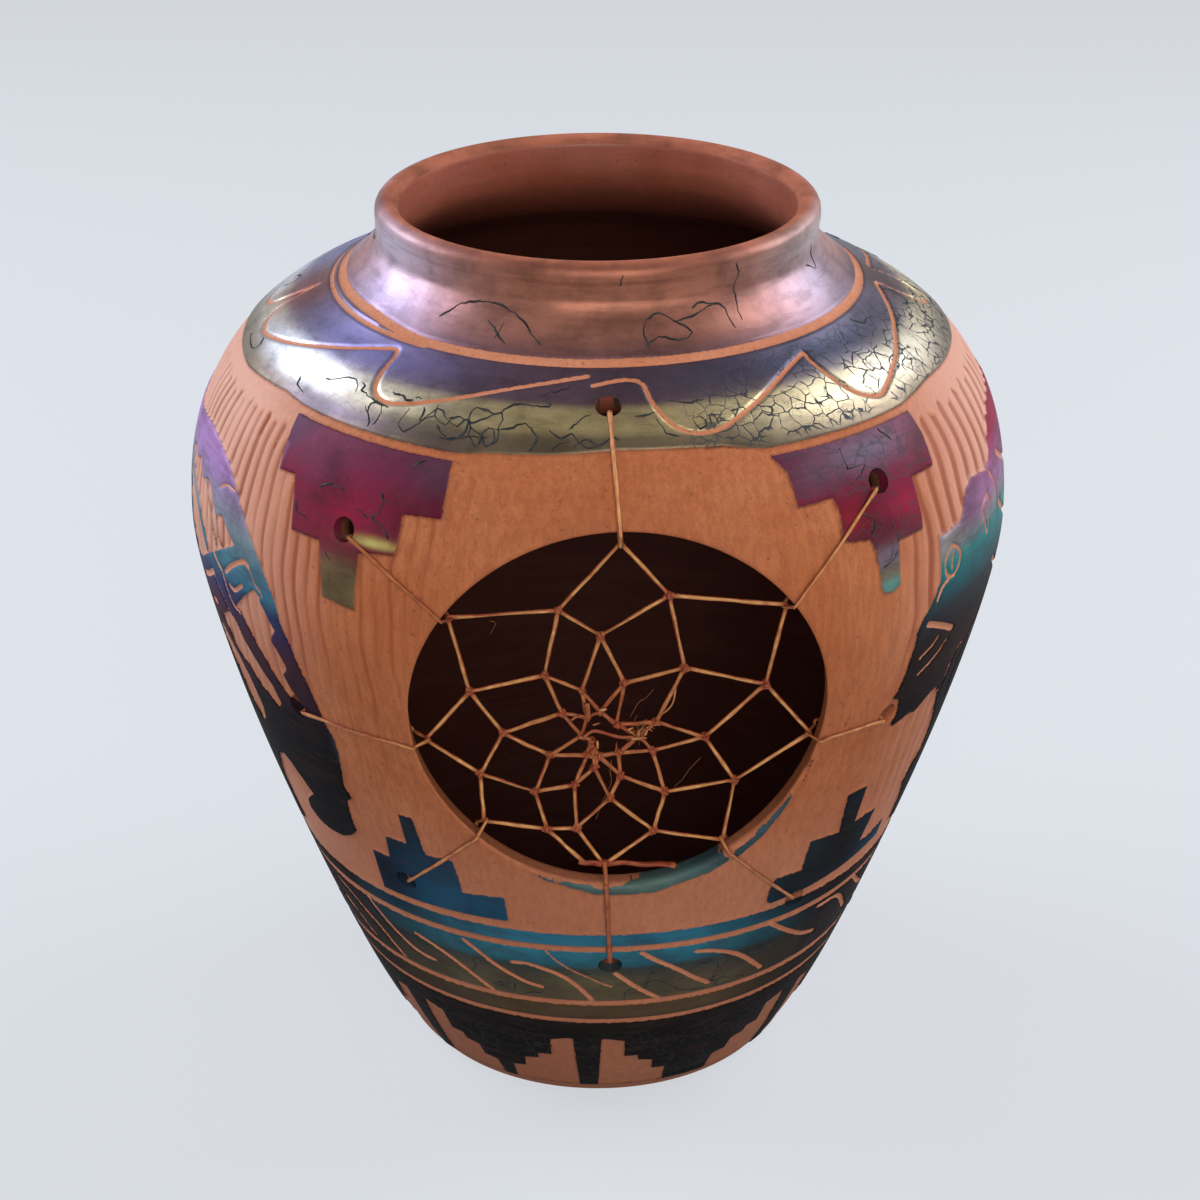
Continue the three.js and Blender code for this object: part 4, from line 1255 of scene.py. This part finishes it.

# Sinew. The lacing loops and the web are one kind of thread: waxed artificial sinew, a flat ribbon of fine
# fibres about 1 mm wide, tan in its middle and rust brown along its edges, twisted a little as it runs. The
# rust brown of its edges is painted shade of the ribbon's sides; at the knots and the middle it is its own
# colour.
sinew_half_width, sinew_flatness = 0.5, 0.6
sinew_half_depth = sinew_half_width * sinew_flatness
clearance = 0.3
sinew_look, tree, where = new_look("waxed_sinew")
edge, along, rusty = [stored(tree, title) for title in ("edge", "along", "rust")]
spun = add(tree, "CombineXYZ", {0: times(tree, along, 0.12), 1: times(tree, edge, 1.6), 2: 0.0})
fibres = grain(tree, spun.outputs[0], 2.6, 4, 0.65)
blotches = grain(tree, where, 320, 3)
light = ramp(tree, fibres, 0.35, 0.68)
tan = mixed(tree, light, shown(176, 112, 62), shown(222, 172, 108))
rust = mixed(tree, light, shown(108, 42, 24), shown(166, 76, 46))
# Painted shade: the ribbon's narrow sides turn rust brown; the blotches and the stored rust are its own
# colour
share = maths(tree, "ADD", ramp(tree, edge, 0.40, 0.85, 0.0, 0.9),
              ramp(tree, blotches, 0.50, 0.66, 0.0, 0.45), clamp=True)
share = maths(tree, "MAXIMUM", share, times(tree, rusty, ramp(tree, blotches, 0.34, 0.50, 0.8, 1.0)))
bump = add(tree, "Bump", {"Height": fibres, "Strength": 0.6, "Distance": 0.00012})
show(tree, {"Base Color": mixed(tree, share, tan, rust), "Normal": bump.outputs[0],
            "Roughness": ramp(tree, fibres, 0.3, 0.7, 0.36, 0.55), "Specular IOR Level": 0.2})


def rounded_route(points, step=0.8, closed=False):
    """A soft curve through points, about a step in mm between its points. A direction may follow a place."""
    p = np.array([tuple(v) for v in points], float)
    p = np.concatenate([p[-1:], p, p[:2]]) if closed else with_run_out(p)
    made = soft_curve(p, step, lambda b, c: float(np.linalg.norm((c - b)[:3])))
    return np.array(made if closed else made + [p[-2]])


def faced(place, way):
    """A route's row: a place, and the way that the thread's broad side faces there."""
    return (*place, *way)


def dress_sinew(piece, rust_of, node=None):
    """Stores how rusty each point of a thread is, and hands it over."""
    mesh = piece.data
    store(mesh, rust=rust_of(points_of(mesh)))
    mesh.materials.clear()
    mesh.materials.append(sinew_look)
    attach(piece, "root")
    if node:
        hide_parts(node)


# The web's knots in the order that the thread makes them: bearing clockwise from the top, and reach as a
# share of the window's radius. Each from the tenth on hangs on the strand nine knots before it.
web_knots = [
    (190, 0.91), (224, 0.93), (258, 0.94), (304, 0.96), (0, 0.92), (54, 0.96), (103, 0.96), (147, 0.96),
    (184, 0.91), (206, 0.78), (239, 0.77), (278, 0.71), (333, 0.63), (20, 0.67), (82, 0.71), (129, 0.74),
    (166, 0.74), (196, 0.72), (219, 0.63), (254, 0.57), (299, 0.4), (348, 0.42), (55, 0.38), (116, 0.47),
    (155, 0.55), (184, 0.52), (205, 0.49), (229, 0.43), (262, 0.27), (300, 0.2), (12, 0.14), (119, 0.21),
    (147, 0.31), (178, 0.39), (198, 0.36), (208, 0.31), (226, 0.24), (247, 0.16), (250, 0.09), (184, 0.1),
    (149, 0.2), (179, 0.26), (198, 0.29), (206, 0.27), (213, 0.23),
]
knots_in_round = 9


def rim_depth(bearing):
    """Where the middle of the wall lies along Y, at a bearing on the window's edge."""
    x, z = from_window(bearing, window_radius)
    return (window_depth(x, z, 0) + window_depth(x, z, wall_thickness)) / 2


web_centre_depth = sum(rim_depth(b) for b in (0, 90, 180, 270)) / 4


def knot_place(index):
    """A knot lies in a shallow dish that runs from the wall's middle at the window's edge."""
    bearing, share = web_knots[index]
    x, z = from_window(bearing, share * window_radius)
    return Vector((x, web_centre_depth + (rim_depth(bearing) - web_centre_depth) * share, z))


knot_places = [knot_place(i) for i in range(len(web_knots))]


# Lacing loops. Each leaves its hole, runs down the outer face to the window, turns round the web's thread
# and goes back inside to be tied, so it closes on itself. The thread lies flat on whatever it passes over.
def round_edge(edge, start, end):
    """Three rows where a thread turns over an edge, from one direction off it to another."""
    ways = [(start + (end - start) * s).normalized() for s in (0, 0.5, 1)]
    return [faced(edge + way * (sinew_half_depth + clearance), way) for way in ways]


turn_gap = 0.55  # mm from the web's thread to the middle of a loop that turns round it
loop_rust = {"top": 0.15, "upper_right": 0.3, "right": 0.35, "lower_right": 0.55, "bottom": 0.85,
             "lower_left": 0.3, "left": 0.4, "upper_left": 0.75}
for name, (bearing, margin, held_knot) in lacing.items():
    mouth, outward = on_wall(*from_window(bearing, window_radius + margin))
    held = knot_places[held_knot]
    left = (knot_places[held_knot + knots_in_round] - held).normalized()
    right = (knot_places[held_knot + knots_in_round - 1] - held).normalized()
    between = (left + right).normalized()
    opening = math.sqrt(1 - between.dot(left) ** 2)
    turn_place = held + between * (turn_gap / opening)
    start = Vector((turn_place.x, 0, turn_place.z - window_height))
    inward = (start - Vector((mouth.x, 0, mouth.z - window_height))).normalized()
    along = start.dot(inward)
    crossing = start - inward * (along + math.sqrt(along**2 + window_radius**2 - start.length_squared))
    edge_x, edge_z = crossing.x, window_height + crossing.z
    outer_point, outer_normal = on_wall(edge_x, edge_z)
    inner_point = Vector((edge_x, window_depth(edge_x, edge_z, wall_thickness), edge_z))
    line_way = outer_point - mouth
    line_way = (line_way - outward * line_way.dot(outward)).normalized()
    mouth_edge = mouth + line_way * hole_radius
    throat_edge = mouth_edge - outward * wall_thickness
    outer_run, inner_run = [], []
    for i in range(1, 6):
        point, normal = on_wall(mouth_edge.x + (edge_x - mouth_edge.x) * i / 6,
                                mouth_edge.z + (edge_z - mouth_edge.z) * i / 6)
        outer_run.append(faced(point + normal * (sinew_half_depth - cut_depth / 2), normal))
        inner_run.insert(0, faced(point - normal * (wall_thickness + sinew_half_depth + clearance), -normal))
    turn_round = [faced(turn_place + Vector((0, side * 0.45, 0)) - inward * abs(side) * 0.2,
                        inward + Vector((0, side, 0))) for side in (-1, 0, 1)]
    route = (round_edge(mouth_edge, -line_way, outward) + outer_run
             + round_edge(outer_point, outer_normal, inward) + turn_round
             + round_edge(inner_point, inward, -outer_normal) + inner_run
             + round_edge(throat_edge, -outward, -line_way))
    line = rounded_route(route, 0.7, closed=True)
    steps = np.arange(len(line))
    slim = 1.0 if name in ("top", "bottom") else 0.82  # the side loops are drawn thinner
    widths = slim * (1 + 0.12 * np.sin(steps * 0.41 + bearing) * np.sin(steps * 0.17))
    twist = 0.35 * np.sin(steps * 0.13 + bearing)
    loop = thread("sinew_loop_" + name, [(line, widths, twist)], sinew_half_width, closed=True,
                  flatness=sinew_flatness)
    dress_sinew(loop, lambda co: np.full(len(co), loop_rust[name]), "lacing_loop_" + name)

# Web. One long thread in a spiral: nine knots hang in the loops, then each knot is a hitch round the strand
# before it, drawn tight so that the strand bends. It ends in a frayed tangle at the middle.
web_rng = np.random.default_rng(3)
forward = Vector((0, -1, 0))


def hitch(place, axis, start, turns=1.6, reach=0.6, long=1.1):
    """A tight coil of the thread round a strand, flat on it."""
    axis = axis.normalized()
    side = (start - axis * start.dot(axis)).normalized()
    other = axis.cross(side)
    count = int(turns * 9)
    coil = []
    for i in range(count + 1):
        a = 2 * math.pi * turns * i / count
        way = side * math.cos(a) + other * math.sin(a)
        coil.append(faced(place + axis * (long * (i / count - 0.5)) + way * reach, way))
    return coil


def hooked(index):
    """The direction of the strand that a knot hangs on, at the knot."""
    before, after = knot_places[index - knots_in_round], knot_places[index - knots_in_round + 1]
    return after - before


def strand(start, end):
    """A drawn stretch of thread between two places, all but straight."""
    return [faced(start.lerp(end, share) + Vector(web_rng.normal(0, 0.03, 3)), forward)
            for share in (0.08, 0.3, 0.5, 0.7, 0.92)]


web_route = []
for i, place in enumerate(knot_places):
    if i < knots_in_round:
        web_route.append(faced(place, forward))
    else:
        web_route += hitch(place, hooked(i), Vector(web_route[-1][:3]) - place)
    last_of = place
    if i + knots_in_round < len(knot_places):
        last_of = knot_places[i + knots_in_round]
        web_route += strand(place, last_of) + [faced(last_of, forward)]
    if i + 1 < len(knot_places):
        web_route += strand(last_of, knot_places[i + 1])
web_route.append(faced(knot_places[len(knot_places) - knots_in_round], forward))
web_line = rounded_route(web_route, 0.6)
steps = np.arange(len(web_line))
widths = 0.92 + 0.10 * np.sin(steps * 0.37) * np.sin(steps * 0.11 + 1)
web_routes = [(web_line, widths, 0.45 * np.sin(steps * 0.045) + 0.3 * np.sin(steps * 0.13))]


def loose_route(points, width_from, width_to, forth=0.6):
    """A free piece of thread in the web's plane, from points across and up, with its widths and no twist."""
    line = rounded_route([faced((x, web_centre_depth - forth, z), forward) for x, z in points], 0.5)
    return line, np.linspace(width_from, width_to, len(line)), np.zeros(len(line))


# The start of the thread: a thicker stub that runs from the first knot past the last of the round
first, last_hung = knot_places[0], knot_places[knots_in_round - 1]
stub = [first + Vector((-1.2, 0, 0.3)), first, first.lerp(last_hung, 0.5) + Vector((0, 0, 0.2)), last_hung]
stub += [last_hung + Vector(way) for way in [(4, -0.2, 0.5), (8, 0.1, -0.3), (12, 0, -0.2), (14.9, 0, -0.7)]]
stub_line = rounded_route([faced(place, forward) for place in stub], 0.6)
count = len(stub_line)
stub_widths = np.interp(np.arange(count), [0, 5, count - 12, count - 1], [1.2, 1.4, 1.9, 1.8])
web_routes.append((stub_line, stub_widths, np.arange(count) * 0.05))
# Free ends at the middle, where the thread was tied off: their line, their widths and how far forward
web_routes += [
    loose_route([(-9.5, 114.1), (-8.2, 114.9), (-7, 114.9), (-6, 114.3)], 0.55, 0.5),
    loose_route([(-6.3, 118), (-6.1, 116.4), (-6.1, 114.7)], 1.1, 1.0, 0.9),
    loose_route([(-7, 110), (-5.3, 111.4), (-3.4, 111.2), (0.1, 110), (3.2, 109.8)], 0.7, 0.8),
    loose_route([(11.7, 122.7), (11.2, 118.3), (10.3, 116.3), (8.4, 114.6)], 0.45, 0.35),
]
web = thread("sinew_web", web_routes, sinew_half_width, flatness=sinew_flatness)


def web_rust(co):
    """Rust brown gathers at the knots and the middle, and darkens the stub at the foot of the window."""
    knot_reach, heart_reach, stub_reach = 2.1, 17, 1.3
    nearest = np.min([np.linalg.norm(co - np.array(mark), axis=1) for mark in knot_places], axis=0)
    at_knot = np.clip(1.35 - nearest / knot_reach, 0, 1)
    at_heart = 0.95 * np.exp(-(np.hypot(co[:, 0] + 2, co[:, 2] - 112) / heart_reach) ** 2)
    return np.max([at_knot, at_heart, co[:, 2] < last_hung.z + stub_reach], axis=0)


dress_sinew(web, web_rust, "web")

# Loose fibres. Single filaments of the sinew that have sprung loose: four long ones from the strands, and a
# small tangle and a frayed tip where the thread was cut.
fibre_half_width = 0.045
fibre_lines = [
    [(7, 121), (5.6, 119.2), (4, 118), (2.4, 114.8)], [(16.8, 104.6), (14.6, 102), (13, 99.5), (11.5, 98)],
    [(-1.3, 104.5), (-1.6, 102), (-1.4, 99.3), (-3.1, 95), (-4.5, 90.6)],
    [(-25.5, 137), (-24.3, 136.3), (-25.5, 134)],
]
fibre_routes = [loose_route(points, 1, 0.6, web_rng.uniform(0.3, 1.4)) for points in fibre_lines]


def add_fibre(points, step):
    line = rounded_route(points, step)
    fibre_routes.append((line, np.linspace(1, 0.5, len(line)), None))


for _ in range(32):
    heading, points = Vector(web_rng.normal(0, 1, 3)).normalized(), []
    place = Vector((web_rng.normal(4.4, 1.2), web_centre_depth - 0.7 + web_rng.normal(0, 0.4),
                    web_rng.normal(111.3, 0.9)))
    for _ in range(5):
        points.append(tuple(place))
        heading = (heading + Vector(web_rng.normal(0, 0.8, 3))).normalized()
        place = place + heading * 0.55
    add_fibre(points, 0.4)
for _ in range(7):
    start = Vector(stub_line[-1][:3]) + Vector(web_rng.normal(0, 0.2, 3))
    add_fibre([start, start + Vector((0.3, web_rng.normal(0, 0.25), web_rng.normal(0, 0.3)))], 0.3)
fibres_piece = thread("sinew_fibres", fibre_routes, fibre_half_width, sides=0)
dress_sinew(fibres_piece, lambda co: np.full(len(co), 0.6))

# Flakes. Pale crumbs of wax and short cut fibres that cling to the web's tangled middle. Each is a short
# flat piece of the same thread, broadest in its middle.
flakes = [  # across, height, half length and lean
    (4.7, 112, 1.0, 0.6), (3, 110.9, 0.9, -0.7), (3.7, 109.7, 1.1, 0.2), (5.6, 111, 0.8, 1.3),
    (2.5, 112, 0.6, 0.4), (6.3, 111.8, 0.7, -0.5), (4.1, 110.8, 0.8, 1.6), (5.2, 109.9, 0.6, 0.1),
    (-4.4, 113.3, 0.8, 0.4), (-3.1, 116.5, 0.8, 0.2), (-0.4, 107.9, 1.0, 1.5), (-4.2, 108.5, 0.9, 1.6),
]
flake_half_width, flake_flatness = 0.42, 0.35
flake_routes = []
for x, z, reach, turn in flakes:
    lean = Vector((math.cos(turn), web_rng.normal(0, 0.3), math.sin(turn)))
    middle = Vector((x, web_centre_depth - 1.0, z))
    way = (forward + Vector(web_rng.normal(0, 0.5, 3))).normalized()
    line = rounded_route([faced(middle + lean * reach * s, way) for s in (-1, -0.4, 0.3, 1)], 0.35)
    widths = np.interp(np.linspace(0, 1, len(line)), [0, 0.3, 0.7, 1], [0.5, 1, 0.9, 0.4])
    flake_routes.append((line, widths, np.linspace(0, 0.8, len(line))))
flakes_piece = thread("sinew_flakes", flake_routes, flake_half_width, sides=1, flatness=flake_flatness)
dress_sinew(flakes_piece, lambda co: np.zeros(len(co)))
